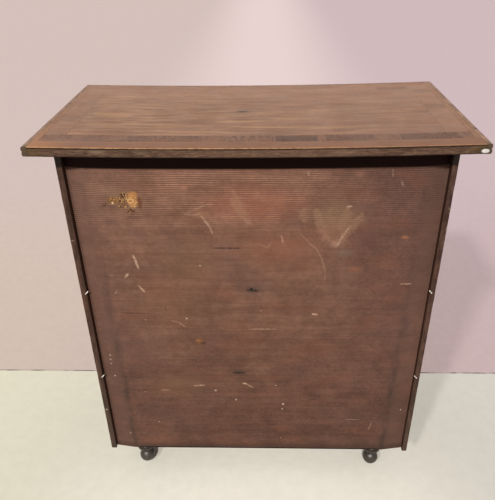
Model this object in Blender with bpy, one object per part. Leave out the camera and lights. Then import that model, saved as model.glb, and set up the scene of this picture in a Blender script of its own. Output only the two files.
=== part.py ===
"""A side cabinet: a veneered top on a panelled carcass with a frieze drawer, two doors and four turned feet.

Metres, +Z up. The origin is on the floor under the middle of the top. The front faces -Y and the back
faces +Y. Left and right are as seen from the front, so left is -X.
"""

import math

import bmesh
import bpy
from mathutils import Vector

# Fits
GAP = 0.0003  # between pieces that touch
OVERRUN = 0.004  # how far a cutter passes the face that it cuts
EASE = 0.0006  # arris taken off the edges of boards and frames

# Overall sizes
TOP_WIDTH = 0.814
TOP_DEPTH = 0.428
CABINET_HEIGHT = 0.9223
SIDE_OVERHANG = 0.041  # of the top past the carcass, at each end
DEPTH_OVERHANG = 0.036  # of the top past the carcass, at the front and at the back
SIDE_LIFT = 0.1166  # lower ends of the side panels above the floor

# Top
TOP_THICKNESS = 0.0178
VENEER = 0.0010
TOP_EASE = 0.0004
MOULDING_WIDTH = 0.0100
MOULDING_CORE_SHARE = 0.76  # of the moulding's width, the flat stock behind its two beads
BEAD_STEPS = 6
REAR_BORDER = 0.033
SIDE_BORDER = 0.020
FRONT_BORDER = 0.039
REAR_BAND = 0.035
SIDE_BAND = 0.041
FRONT_BAND = 0.027

# Carcass
SIDE_THICKNESS = 0.0165
BOARD_THICKNESS = 0.0165  # bottom board, shelves and dust board
BOTTOM_RISE = 0.0070  # underside of the bottom board above the lower ends of the sides
BASE_RAIL_THICKNESS = 0.0160
FRIEZE_OPENING = 0.0530
TOP_RAIL_WIDTH = 0.0450
TOP_RAIL_THICKNESS = 0.0137
HOUSING_DEPTH = 0.0060  # of the grooves that hold the boards' ends
TENON_LENGTH = 0.0080
TENON_SHOULDER = 0.0045
HOUSING_SETBACK = 0.0120  # of the dust board's housed part behind the front

# Back
BACK_RECESS = 0.0040  # field of the back behind the sides' rear edges
BACK_THICKNESS = 0.0200
BACK_TONGUE = 0.0060
BACK_GROOVE_DEPTH = 0.0070
BACK_BEVEL_AT_TOP = 0.0320
BACK_BEVEL_AT_BOTTOM = 0.0420
BACK_BEVEL_DROP = 0.0065  # from the field to the bevel's outer end
BACK_RISE = 0.0012  # lower edge of the back above the lower ends of the sides
BACK_JOINT_SHARES = (0.449, 0.801)  # of the back's height
NAIL_RADIUS = 0.0012
NAIL_LENGTH = 0.0320
NAIL_HEAD_RADIUS = 0.0027
NAIL_HEAD_THICKNESS = 0.0010
UPPER_NAIL_OFFSET = 0.0095  # of each nail from the cabinet's middle
LOWER_NAIL_OFFSET = 0.0403
UPPER_NAIL_RISE = 0.0004  # of each nail above the middle of its shelf
LOWER_NAIL_RISE = 0.0031

# Feet
FOOT_SIDE_INSET = 0.0680  # of each foot's middle from the carcass's side
FOOT_DEPTH_INSET = 0.0660  # of each foot's middle from the carcass's front or rear
BALL_RADIUS = 0.0195
BALL_FLAT = 0.0005
NECK_RADIUS = 0.0105
COLLAR_RADIUS = 0.0225
COLLAR_HEIGHT = 0.0535  # of the collar's lower rim above the floor
FOOT_TENON_RADIUS = 0.0100
FOOT_TENON_LENGTH = 0.0110
FOOT_SIDES = 20
BALL_STEPS = 6
# Radius as a share of the collar's, and height as a share of the way from the neck to the collar
FOOT_COVE_SHARES = ((0.47, 0.14), (0.52, 0.42), (0.64, 0.70), (0.82, 0.90))
# Radius as a share of the collar's, and height as a share of the way from the collar to the top
FOOT_BODY_SHARES = (
    (0.97, 0.0),
    (1.0, 0.035),
    (0.97, 0.075),
    (0.72, 0.095),
    (0.62, 0.14),
    (0.64, 0.26),
    (0.74, 0.46),
    (0.89, 0.66),
    (1.02, 0.80),
    (1.04, 0.86),
    (1.16, 0.885),
    (1.16, 1.0),
)

# Drawer
DRAWER_SIDE_CLEARANCE = 0.0008
DRAWER_TOP_CLEARANCE = 0.0010
DRAWER_END_SPACE = 0.0060
DRAWER_FRONT_THICKNESS = 0.0180
DRAWER_SIDE_THICKNESS = 0.0100
DRAWER_BACK_THICKNESS = 0.0100
DRAWER_BACK_INSET = 0.0040
DRAWER_BACK_DROP = 0.0040
DRAWER_BOTTOM_THICKNESS = 0.0060
DRAWER_BOTTOM_RISE = 0.0060
DRAWER_GROOVE_DEPTH = 0.0040
TAIL_COUNT = 2
TAIL_LENGTH = 0.0120
TAIL_ROOT_SHARE = 0.27  # half widths of a tail as shares of the pitch
TAIL_END_SHARE = 0.36
KNOB_OFFSET = 0.2000  # of each knob from the cabinet's middle
KNOB_RADIUS = 0.0105
KNOB_PROJECTION = 0.0220
KNOB_SPIGOT_RADIUS = 0.0030
KNOB_SPIGOT_LENGTH = 0.0120
KNOB_SIDES = 20
# Radius as a share of the knob's, and distance in front of the drawer as a share of its projection
KNOB_SHARES = (
    (0.82, 0.0),
    (0.86, 0.06),
    (0.58, 0.13),
    (0.44, 0.24),
    (0.46, 0.38),
    (0.80, 0.52),
    (1.0, 0.68),
    (0.98, 0.80),
    (0.72, 0.92),
    (0.30, 1.0),
)

# Doors
DOOR_THICKNESS = 0.0180
DOOR_HINGE_CLEARANCE = 0.0010
DOOR_END_CLEARANCE = 0.0015
MEETING_CLEARANCE = 0.0015
STILE_WIDTH = 0.0480
DOOR_TOP_RAIL_WIDTH = 0.0480
DOOR_BOTTOM_RAIL_WIDTH = 0.0600
PANEL_TONGUE = 0.0060
PANEL_GROOVE_DEPTH = 0.0080
PANEL_FIELD_SET_BACK = 0.0010  # field of a panel behind the face of its frame
PANEL_BEVEL_WIDTH = 0.0380
PANEL_STEP = 0.0018
DOOR_TENON_LENGTH = 0.0260
DOOR_TENON_SETBACK = 0.0100  # of a tenon from the end of its stile

# Hinges
HINGE_HEIGHT = 0.0500
HINGE_INSET = 0.0900  # of each hinge's middle from the end of its door
HINGE_LEAF_WIDTH = 0.0140
HINGE_LEAF_THICKNESS = 0.0015
KNUCKLE_RADIUS = 0.0032
KNUCKLE_PLAY = 0.0006
HINGE_PIN_RADIUS = 0.0012
KNUCKLE_SIDES = 16

# Lock, on the right door's meeting stile
LOCK_WIDTH = 0.0350
LOCK_HEIGHT = 0.0520
LOCK_THICKNESS = 0.0100
LOCK_PLATE = 0.0010
LOCK_REAR_WALL = 0.0015
LOCK_BOLT_HEIGHT = 0.0100
LOCK_BOLT_THICKNESS = 0.0050
LOCK_BOLT_LENGTH = 0.0260
LOCK_BOLT_RISE = 0.0040  # underside of the bolt above the lock's middle
LOCK_BOLT_THROW = 0.0080
KEY_DROP = 0.0060  # of the key below the lock's middle
KEY_INSET = 0.0210  # of the key from the door's meeting edge
KEY_SHANK_RADIUS = 0.0023
KEY_BIT_RADIUS = 0.0078
KEY_BIT_THICKNESS = 0.0024
KEY_BIT_WIDTH = 0.0055
KEYHOLE_RADIUS = 0.0028
KEYHOLE_SLOT_WIDTH = 0.0032
KEYHOLE_SLOT_REACH = 0.0086
KEY_COLLAR_RADIUS = 0.0036
KEY_COLLAR_LENGTH = 0.0030
KEY_STAND = 0.0140  # free shank between the escutcheon and the bow
KEY_BOW_RADIUS = 0.0085
KEY_BOW_WIRE = 0.0018
KEY_SIDES = 12
BOW_STEPS = 20
BOW_WIRE_SIDES = 8
ESCUTCHEON_WIDTH = 0.0220
ESCUTCHEON_HEIGHT = 0.0360
ESCUTCHEON_THICKNESS = 0.0010
ESCUTCHEON_STEPS = 24

# Sliding bolts, on the rear of the left door
BOLT_INSET = 0.0240  # of each bolt's middle from the door's meeting edge
BOLT_RADIUS = 0.0022
BOLT_THROW = 0.0100
BOLT_PLATE_WIDTH = 0.0180
BOLT_PLATE_LENGTH = 0.0600
BOLT_PLATE_THICKNESS = 0.0015
BOLT_PLATE_INSET = 0.0120  # of each plate from the end of the door
BOLT_GUIDE_WIDTH = 0.0110
BOLT_GUIDE_LENGTH = 0.0080
BOLT_GUIDE_DEPTH = 0.0076
BOLT_GUIDE_INSET = 0.0040  # of each guide from the end of its plate
BOLT_THUMB_RADIUS = 0.0024
BOLT_THUMB_REACH = 0.0120
BOLT_THUMB_SHARE = 0.36  # of the plate's length, from its outer end to the bolt's thumb piece
BOLT_END_MARGIN = 0.0060  # of the bolt inside the plate's inner end
SOCKET_CLEARANCE = 0.0006
BOLT_SIDES = 12

# Where the main faces lie
REAR = TOP_DEPTH / 2 - DEPTH_OVERHANG
FRONT = -REAR
OUTER = TOP_WIDTH / 2 - SIDE_OVERHANG
INNER = OUTER - SIDE_THICKNESS
TOP_UNDERSIDE = CABINET_HEIGHT - TOP_THICKNESS
BODY_TOP = TOP_UNDERSIDE - GAP
TOP_RAIL_UNDERSIDE = BODY_TOP - TOP_RAIL_THICKNESS
DUST_TOP = TOP_RAIL_UNDERSIDE - FRIEZE_OPENING
DUST_UNDERSIDE = DUST_TOP - BOARD_THICKNESS
BOTTOM_UNDERSIDE = SIDE_LIFT + BOTTOM_RISE
BOTTOM_TOP = BOTTOM_UNDERSIDE + BOARD_THICKNESS
BACK_REAR = REAR - BACK_RECESS
BACK_FRONT = BACK_REAR - BACK_THICKNESS
BACK_BOTTOM = SIDE_LIFT + BACK_RISE
BOARD_REAR = BACK_FRONT - GAP
DOOR_REAR = FRONT + DOOR_THICKNESS
BOTTOM_FRONT = FRONT + BASE_RAIL_THICKNESS + GAP
SHELF_FRONT = DOOR_REAR + GAP
DUST_HOUSED_FRONT = FRONT + HOUSING_SETBACK
SHELF_COUNT = 2
BAY_HEIGHT = (DUST_UNDERSIDE - BOTTOM_TOP - SHELF_COUNT * BOARD_THICKNESS) / (SHELF_COUNT + 1)
LOWER_SHELF_UNDERSIDE = BOTTOM_TOP + BAY_HEIGHT
UPPER_SHELF_UNDERSIDE = LOWER_SHELF_UNDERSIDE + BOARD_THICKNESS + BAY_HEIGHT
DOOR_BOTTOM = BOTTOM_TOP + DOOR_END_CLEARANCE
DOOR_TOP = DUST_UNDERSIDE - DOOR_END_CLEARANCE
DOOR_NEAR = MEETING_CLEARANCE / 2
DOOR_FAR = INNER - DOOR_HINGE_CLEARANCE
HINGE_AXIS_X = INNER - DOOR_HINGE_CLEARANCE / 2
HINGE_AXIS_Y = FRONT - GAP - KNUCKLE_RADIUS
HINGE_HEIGHTS = {"lower": DOOR_BOTTOM + HINGE_INSET, "upper": DOOR_TOP - HINGE_INSET}
LOCK_MIDDLE = (DOOR_BOTTOM + DOOR_TOP) / 2
LOCK_FRONT = DOOR_REAR - LOCK_THICKNESS
KEY_X = DOOR_NEAR + KEY_INSET
KEY_Z = LOCK_MIDDLE - KEY_DROP
BOLT_X = -(DOOR_NEAR + BOLT_INSET)
BOLT_Y = DOOR_REAR + GAP + BOLT_PLATE_THICKNESS + BOLT_GUIDE_DEPTH / 2
SIDES = {"left": -1, "right": 1}

# Colour, roughness and metallic value of each kind of surface
KINDS = {
    "figured_veneer": ((0.135, 0.058, 0.032), 0.36, 0.0),
    "dark_veneer": ((0.060, 0.028, 0.020), 0.36, 0.0),
    "border_veneer": ((0.210, 0.100, 0.050), 0.36, 0.0),
    "raw_core": ((0.105, 0.075, 0.058), 0.75, 0.0),
    "stained_side": ((0.050, 0.030, 0.022), 0.55, 0.0),
    "back_wood": ((0.110, 0.058, 0.045), 0.72, 0.0),
    "inner_wood": ((0.240, 0.140, 0.080), 0.70, 0.0),
    "front_wood": ((0.130, 0.056, 0.030), 0.38, 0.0),
    "turned_wood": ((0.030, 0.018, 0.014), 0.35, 0.0),
    "brass": ((0.560, 0.400, 0.170), 0.35, 1.0),
    "steel": ((0.300, 0.290, 0.280), 0.45, 1.0),
    "iron": ((0.060, 0.055, 0.055), 0.65, 1.0),
}


def clear_scene():
    for obj in list(bpy.data.objects):
        bpy.data.objects.remove(obj)


def finish(name, kind):
    colour, roughness, metallic = KINDS[kind]
    material = bpy.data.materials.new(name + "_" + kind)
    material.use_nodes = True
    shader = material.node_tree.nodes["Principled BSDF"]
    shader.inputs["Base Color"].default_value = (*colour, 1.0)
    shader.inputs["Roughness"].default_value = roughness
    shader.inputs["Metallic"].default_value = metallic
    material.diffuse_color = (*colour, 1.0)
    return material


def object_from(name, bm, kind=None):
    """An object of a bmesh whose faces are turned out. Without a kind it is a guide that never renders."""
    bmesh.ops.recalc_face_normals(bm, faces=bm.faces)
    mesh = bpy.data.meshes.new(name)
    bm.to_mesh(mesh)
    bm.free()
    obj = bpy.data.objects.new(name, mesh)
    bpy.context.scene.collection.objects.link(obj)
    if kind is None:
        obj.hide_render = True
        obj.display_type = "WIRE"
    else:
        mesh.materials.append(finish(name, kind))
    return obj


def ease(bm, width):
    sharp = [edge for edge in bm.edges if edge.is_convex]
    bmesh.ops.bevel(bm, geom=sharp, offset=width, segments=1, affect="EDGES", clamp_overlap=True)


def layered(name, layers, kind=None, easing=0):
    """A closed body through outlines with the same number of points, from the first layer to the last."""
    bm = bmesh.new()
    rings = [[bm.verts.new(point) for point in layer] for layer in layers]
    count = len(rings[0])
    for low, high in zip(rings, rings[1:]):
        for i in range(count):
            j = (i + 1) % count
            bm.faces.new((low[i], low[j], high[j], high[i]))
    bm.faces.new(rings[0])
    bm.faces.new(rings[-1])
    bmesh.ops.recalc_face_normals(bm, faces=bm.faces)
    if easing:
        ease(bm, easing)
    return object_from(name, bm, kind)


def prism(name, axis, outline, low, high, kind=None, easing=0):
    """An outline square to an axis, given in the order of the other two, and drawn out from low to high."""
    def layer(at):
        if axis == "X":
            return [(at, a, b) for a, b in outline]
        if axis == "Y":
            return [(a, at, b) for a, b in outline]
        return [(a, b, at) for a, b in outline]

    return layered(name, [layer(low), layer(high)], kind, easing)


def block(name, x, y, z, kind=None, easing=0):
    outline = [(x[0], y[0]), (x[1], y[0]), (x[1], y[1]), (x[0], y[1])]
    return prism(name, "Z", outline, z[0], z[1], kind, easing)


def board(name, x, y, z, kind):
    return block(name, x, y, z, kind, EASE)


def turned(name, profile, foot, direction, sides, kind=None):
    """A lathe-turned body. The profile gives radii and heights, from the foot point along the direction."""
    along = Vector(direction).normalized()
    turn = Vector((0, 0, 1)).rotation_difference(along)
    start = Vector(foot)
    layers = []
    for radius, height in profile:
        ring = []
        for i in range(sides):
            angle = 2 * math.pi * (i + 0.5) / sides
            ring.append(start + turn @ Vector((radius * math.cos(angle), radius * math.sin(angle), height)))
        layers.append(ring)
    obj = layered(name, layers, kind)
    smooth(obj)
    return obj


def rod(name, radius, foot, direction, length, sides, kind=None):
    return turned(name, [(radius, 0), (radius, length)], foot, direction, sides, kind)


def smooth(obj):
    obj.data.shade_smooth()
    obj.data.set_sharp_from_angle(angle=math.radians(38))


def combine(target, operation, others):
    for other in others:
        modifier = target.modifiers.new(operation.lower(), "BOOLEAN")
        modifier.operation = operation
        modifier.solver = "EXACT"
        modifier.object = other


def cut(target, *cutters):
    combine(target, "DIFFERENCE", cutters)


def fuse(target, *additions):
    combine(target, "UNION", additions)


def span(side, near, far):
    """The range between two distances from the cabinet's middle, on one side of it."""
    return tuple(sorted((side * near, side * far)))


def joint_centre(name, place, pieces):
    """An empty on a joint's axis, which carries the pieces that move with it."""
    centre = bpy.data.objects.new(name, None)
    centre.location = place
    bpy.context.scene.collection.objects.link(centre)
    for piece in pieces:
        piece.parent = centre
        piece.location = -Vector(place)
    return centre


def make_top():
    half = TOP_WIDTH / 2
    rear = TOP_DEPTH / 2
    core_half = half - MOULDING_WIDTH - GAP
    core_front = -rear + MOULDING_WIDTH + GAP
    core_top = CABINET_HEIGHT - VENEER - GAP
    core_x = (-core_half, core_half)
    core_y = (core_front, rear)
    block("top_board", core_x, core_y, (TOP_UNDERSIDE, core_top), "raw_core")
    levels = (CABINET_HEIGHT - VENEER, CABINET_HEIGHT)
    through = (levels[0] - OVERRUN, levels[1] + OVERRUN)
    side_inner = half - SIDE_BORDER
    rear_inner = rear - REAR_BORDER
    front_inner = -rear + FRONT_BORDER
    border = block("top_border_veneer", core_x, core_y, levels, "border_veneer", TOP_EASE)
    cut(border, block("border_opening", (-side_inner, side_inner), (front_inner, rear_inner), through))
    outer = ((-side_inner + GAP, side_inner - GAP), (front_inner + GAP, rear_inner - GAP))
    band = block("top_crossband", *outer, levels, "dark_veneer")
    band_half = side_inner - SIDE_BAND
    band_y = (front_inner + FRONT_BAND, rear_inner - REAR_BAND)
    cut(band, block("band_opening", (-band_half, band_half), band_y, through))
    field_y = (band_y[0] + GAP, band_y[1] - GAP)
    block("top_field_veneer", (-band_half + GAP, band_half - GAP), field_y, levels, "figured_veneer")


def bead_outline():
    """The edge moulding's section: distance out from the core's edge, and height above its lower face."""
    stock = MOULDING_WIDTH * MOULDING_CORE_SHARE
    bead = TOP_THICKNESS / 4
    reach = MOULDING_WIDTH - stock
    points = [(0, 0)]
    for middle in (bead, 3 * bead):
        for step in range(BEAD_STEPS + 1):
            angle = math.pi * (step / BEAD_STEPS - 0.5)
            out = stock + reach * math.cos(angle)
            points.append((out, middle + bead * math.sin(angle)))
    points.append((0, TOP_THICKNESS))
    return [point for i, point in enumerate(points) if i == 0 or point != points[i - 1]]


def make_mouldings():
    """Strips along the front and the two ends, mitred at the front corners."""
    outline = bead_outline()
    edge_x = TOP_WIDTH / 2 - MOULDING_WIDTH
    edge_y = TOP_DEPTH / 2 - MOULDING_WIDTH
    for name, side in SIDES.items():
        front_end = [(side * (edge_x + out), -edge_y - out + GAP, TOP_UNDERSIDE + up) for out, up in outline]
        rear_end = [(side * (edge_x + out), TOP_DEPTH / 2, TOP_UNDERSIDE + up) for out, up in outline]
        smooth(layered("top_moulding_" + name, [front_end, rear_end], "border_veneer"))
    ends = []
    for side in SIDES.values():
        ends.append([(side * (edge_x + out - GAP), -edge_y - out, TOP_UNDERSIDE + up) for out, up in outline])
    smooth(layered("top_moulding_front", ends, "border_veneer"))


def housed_boards():
    """Underside and front of the part that the sides house, for each board between them."""
    return {
        "bottom_board": (BOTTOM_UNDERSIDE, BOTTOM_FRONT),
        "lower_shelf": (LOWER_SHELF_UNDERSIDE, SHELF_FRONT),
        "upper_shelf": (UPPER_SHELF_UNDERSIDE, SHELF_FRONT),
        "dust_board": (DUST_UNDERSIDE, DUST_HOUSED_FRONT),
    }


def rail_places():
    """For each rail between the sides: its range along Y, its range along Z and its shoulder."""
    wide_shoulder = TOP_RAIL_WIDTH / 4
    return {
        "base_rail": ((FRONT, FRONT + BASE_RAIL_THICKNESS), (SIDE_LIFT, BOTTOM_TOP), TENON_SHOULDER),
        "top_rail_front": ((FRONT, FRONT + TOP_RAIL_WIDTH), (TOP_RAIL_UNDERSIDE, BODY_TOP), wide_shoulder),
        "top_rail_rear": (
            (BOARD_REAR - TOP_RAIL_WIDTH, BOARD_REAR),
            (TOP_RAIL_UNDERSIDE, BODY_TOP),
            wide_shoulder,
        ),
    }


def make_side_panel(name, side):
    panel = board(name, span(side, INNER, OUTER), (FRONT, REAR), (SIDE_LIFT, BODY_TOP), "stained_side")
    groove_x = span(side, INNER - OVERRUN, INNER + BACK_GROOVE_DEPTH)
    groove_y = (BACK_FRONT - GAP, BACK_FRONT + BACK_TONGUE + GAP)
    cut(panel, block(name + "_back_groove", groove_x, groove_y, (SIDE_LIFT - OVERRUN, BODY_TOP + OVERRUN)))
    housing_x = span(side, INNER - OVERRUN, INNER + HOUSING_DEPTH)
    for board_name, (underside, front) in housed_boards().items():
        levels = (underside - GAP, underside + BOARD_THICKNESS + GAP)
        cut(panel, block(name + "_" + board_name, housing_x, (front - GAP, BACK_FRONT), levels))
    mortise_x = span(side, INNER - OVERRUN, INNER + TENON_LENGTH)
    for rail_name, (across, levels, shoulder) in rail_places().items():
        mortise_y = (across[0] + shoulder - GAP, across[1] - shoulder + GAP)
        at_bottom = levels[0] == SIDE_LIFT
        low = SIDE_LIFT - OVERRUN if at_bottom else levels[0] - GAP
        high = levels[1] + GAP if at_bottom else BODY_TOP + OVERRUN
        cut(panel, block(name + "_" + rail_name, mortise_x, mortise_y, (low, high)))
    recess_x = span(side, INNER - OVERRUN, INNER + HINGE_LEAF_THICKNESS + GAP)
    recess_y = (FRONT - OVERRUN, FRONT + HINGE_LEAF_WIDTH + GAP)
    for place, middle in HINGE_HEIGHTS.items():
        reach = HINGE_HEIGHT / 2 + GAP
        cut(panel, block(name + "_hinge_" + place, recess_x, recess_y, (middle - reach, middle + reach)))


def make_rails():
    half = INNER - GAP
    reach = INNER + TENON_LENGTH - GAP
    for name, (across, levels, shoulder) in rail_places().items():
        near, far = across
        tenon_near = near + shoulder
        tenon_far = far - shoulder
        right = [(half, near), (half, tenon_near), (reach, tenon_near), (reach, tenon_far), (half, tenon_far)]
        right.append((half, far))
        outline = right + [(-x, y) for x, y in reversed(right)]
        kind = "front_wood" if near == FRONT else "inner_wood"
        prism(name, "Z", outline, levels[0], levels[1], kind, EASE)


def make_boards():
    """The bottom board, the shelves and the dust board under the drawer."""
    half = INNER - GAP
    reach = INNER + HOUSING_DEPTH - GAP
    boards = {}
    for name, (underside, front) in housed_boards().items():
        levels = (underside, underside + BOARD_THICKNESS)
        if name == "dust_board":
            right = [(half, FRONT), (half, front), (reach, front), (reach, BOARD_REAR)]
            outline = right + [(-x, y) for x, y in reversed(right)]
            boards[name] = prism(name, "Z", outline, levels[0], levels[1], "inner_wood", EASE)
        else:
            boards[name] = board(name, (-reach, reach), (front, BOARD_REAR), levels, "inner_wood")
    radius = FOOT_TENON_RADIUS + GAP
    depth = OVERRUN + FOOT_TENON_LENGTH + GAP
    for x, y in foot_places().values():
        start = (x, y, BOTTOM_UNDERSIDE - OVERRUN)
        cut(boards["bottom_board"], rod("foot_hole", radius, start, (0, 0, 1), depth, FOOT_SIDES))
    half_socket = BOLT_RADIUS + SOCKET_CLEARANCE
    socket_x = (BOLT_X - half_socket, BOLT_X + half_socket)
    socket_y = (BOLT_Y - half_socket, BOLT_Y + half_socket)
    upper_z = (DUST_UNDERSIDE - OVERRUN, DUST_UNDERSIDE + BOLT_THROW)
    lower_z = (BOTTOM_TOP - BOLT_THROW, BOTTOM_TOP + OVERRUN)
    cut(boards["dust_board"], block("upper_socket", socket_x, socket_y, upper_z))
    cut(boards["bottom_board"], block("lower_socket", socket_x, socket_y, lower_z))
    radius = NAIL_RADIUS + GAP
    depth = OVERRUN + BOARD_REAR - (BACK_REAR - GAP - NAIL_LENGTH) + GAP
    for name, (x, z) in nail_places().items():
        start = (x, BOARD_REAR + OVERRUN, z)
        cut(boards[name], rod(name + "_nail_hole", radius, start, (0, -1, 0), depth, BOLT_SIDES))


def nail_places():
    """Where a nail goes through the back into each shelf, as seen on its rear face."""
    half = BOARD_THICKNESS / 2
    return {
        "upper_shelf": (UPPER_NAIL_OFFSET, UPPER_SHELF_UNDERSIDE + half + UPPER_NAIL_RISE),
        "lower_shelf": (LOWER_NAIL_OFFSET, LOWER_SHELF_UNDERSIDE + half + LOWER_NAIL_RISE),
    }


def back_section(z):
    """A back board's section at a height, with bevelled ends whose tongues stand in the sides' grooves."""
    share = (z - BACK_BOTTOM) / (BODY_TOP - BACK_BOTTOM)
    bevel = BACK_BEVEL_AT_BOTTOM + share * (BACK_BEVEL_AT_TOP - BACK_BEVEL_AT_BOTTOM)
    reach = INNER + BACK_GROOVE_DEPTH - GAP
    tongue_rear = BACK_FRONT + BACK_TONGUE
    right = [
        (reach, BACK_FRONT),
        (reach, tongue_rear),
        (INNER - GAP, tongue_rear),
        (INNER - GAP, BACK_REAR - BACK_BEVEL_DROP),
        (INNER - bevel, BACK_REAR),
    ]
    outline = right + [(-x, y) for x, y in reversed(right)]
    return [(x, y, z) for x, y in outline]


def make_back():
    height = BODY_TOP - BACK_BOTTOM
    joints = [BACK_BOTTOM + share * height for share in BACK_JOINT_SHARES]
    levels = {
        "back_board_lower": (BACK_BOTTOM, joints[0] - GAP / 2),
        "back_board_middle": (joints[0] + GAP / 2, joints[1] - GAP / 2),
        "back_board_upper": (joints[1] + GAP / 2, BODY_TOP),
    }
    boards = {}
    for name, (low, high) in levels.items():
        boards[name] = layered(name, [back_section(low), back_section(high)], "back_wood")
    holder = {"upper_shelf": "back_board_middle", "lower_shelf": "back_board_lower"}
    through = OVERRUN + BACK_THICKNESS + OVERRUN
    sunk = OVERRUN + GAP + NAIL_HEAD_THICKNESS + GAP
    for shelf, (x, z) in nail_places().items():
        start = (x, BACK_REAR + OVERRUN, z)
        hole = rod(shelf + "_back_hole", NAIL_RADIUS + GAP, start, (0, -1, 0), through, BOLT_SIDES)
        sink = rod(shelf + "_head_sink", NAIL_HEAD_RADIUS + GAP, start, (0, -1, 0), sunk, BOLT_SIDES)
        cut(boards[holder[shelf]], hole, sink)
        profile = [
            (NAIL_HEAD_RADIUS, 0),
            (NAIL_HEAD_RADIUS, NAIL_HEAD_THICKNESS),
            (NAIL_RADIUS, NAIL_HEAD_THICKNESS),
            (NAIL_RADIUS, NAIL_LENGTH),
        ]
        turned("nail_" + shelf, profile, (x, BACK_REAR - GAP, z), (0, -1, 0), BOLT_SIDES, "iron")


def foot_places():
    x = OUTER - FOOT_SIDE_INSET
    y = REAR - FOOT_DEPTH_INSET
    return {
        "foot_front_left": (-x, -y),
        "foot_front_right": (x, -y),
        "foot_rear_left": (-x, y),
        "foot_rear_right": (x, y),
    }


def foot_profile():
    """Radius and height up a foot: ball, neck, cove, collar, turned body and tenon."""
    centre = BALL_RADIUS - BALL_FLAT
    low = -math.asin(centre / BALL_RADIUS)
    high = math.acos(NECK_RADIUS / BALL_RADIUS)
    points = []
    for step in range(BALL_STEPS + 1):
        angle = low + (high - low) * step / BALL_STEPS
        points.append((BALL_RADIUS * math.cos(angle), centre + BALL_RADIUS * math.sin(angle)))
    neck = points[-1][1]
    for radius_share, height_share in FOOT_COVE_SHARES:
        points.append((COLLAR_RADIUS * radius_share, neck + (COLLAR_HEIGHT - neck) * height_share))
    top = BOTTOM_UNDERSIDE - GAP
    for radius_share, height_share in FOOT_BODY_SHARES:
        points.append((COLLAR_RADIUS * radius_share, COLLAR_HEIGHT + (top - COLLAR_HEIGHT) * height_share))
    points.append((FOOT_TENON_RADIUS, top))
    points.append((FOOT_TENON_RADIUS, BOTTOM_UNDERSIDE + FOOT_TENON_LENGTH))
    return points


def make_feet():
    profile = foot_profile()
    for name, (x, y) in foot_places().items():
        turned(name, profile, (x, y, 0), (0, 0, 1), FOOT_SIDES, "turned_wood")


def tail_outline(low, high, inner, grow):
    """For each dovetail of a drawer side: its outline in Y and Z, grown by a clearance for its socket."""
    pitch = (high - low) / TAIL_COUNT
    tails = []
    for i in range(TAIL_COUNT):
        middle = low + pitch * (i + 0.5)
        root = pitch * TAIL_ROOT_SHARE + grow
        end = pitch * TAIL_END_SHARE + grow
        tip = inner - TAIL_LENGTH - grow
        lower = [(inner, middle - root), (tip, middle - end)]
        upper = [(tip, middle + end), (inner, middle + root)]
        tails.append(lower + upper)
    return tails


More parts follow.
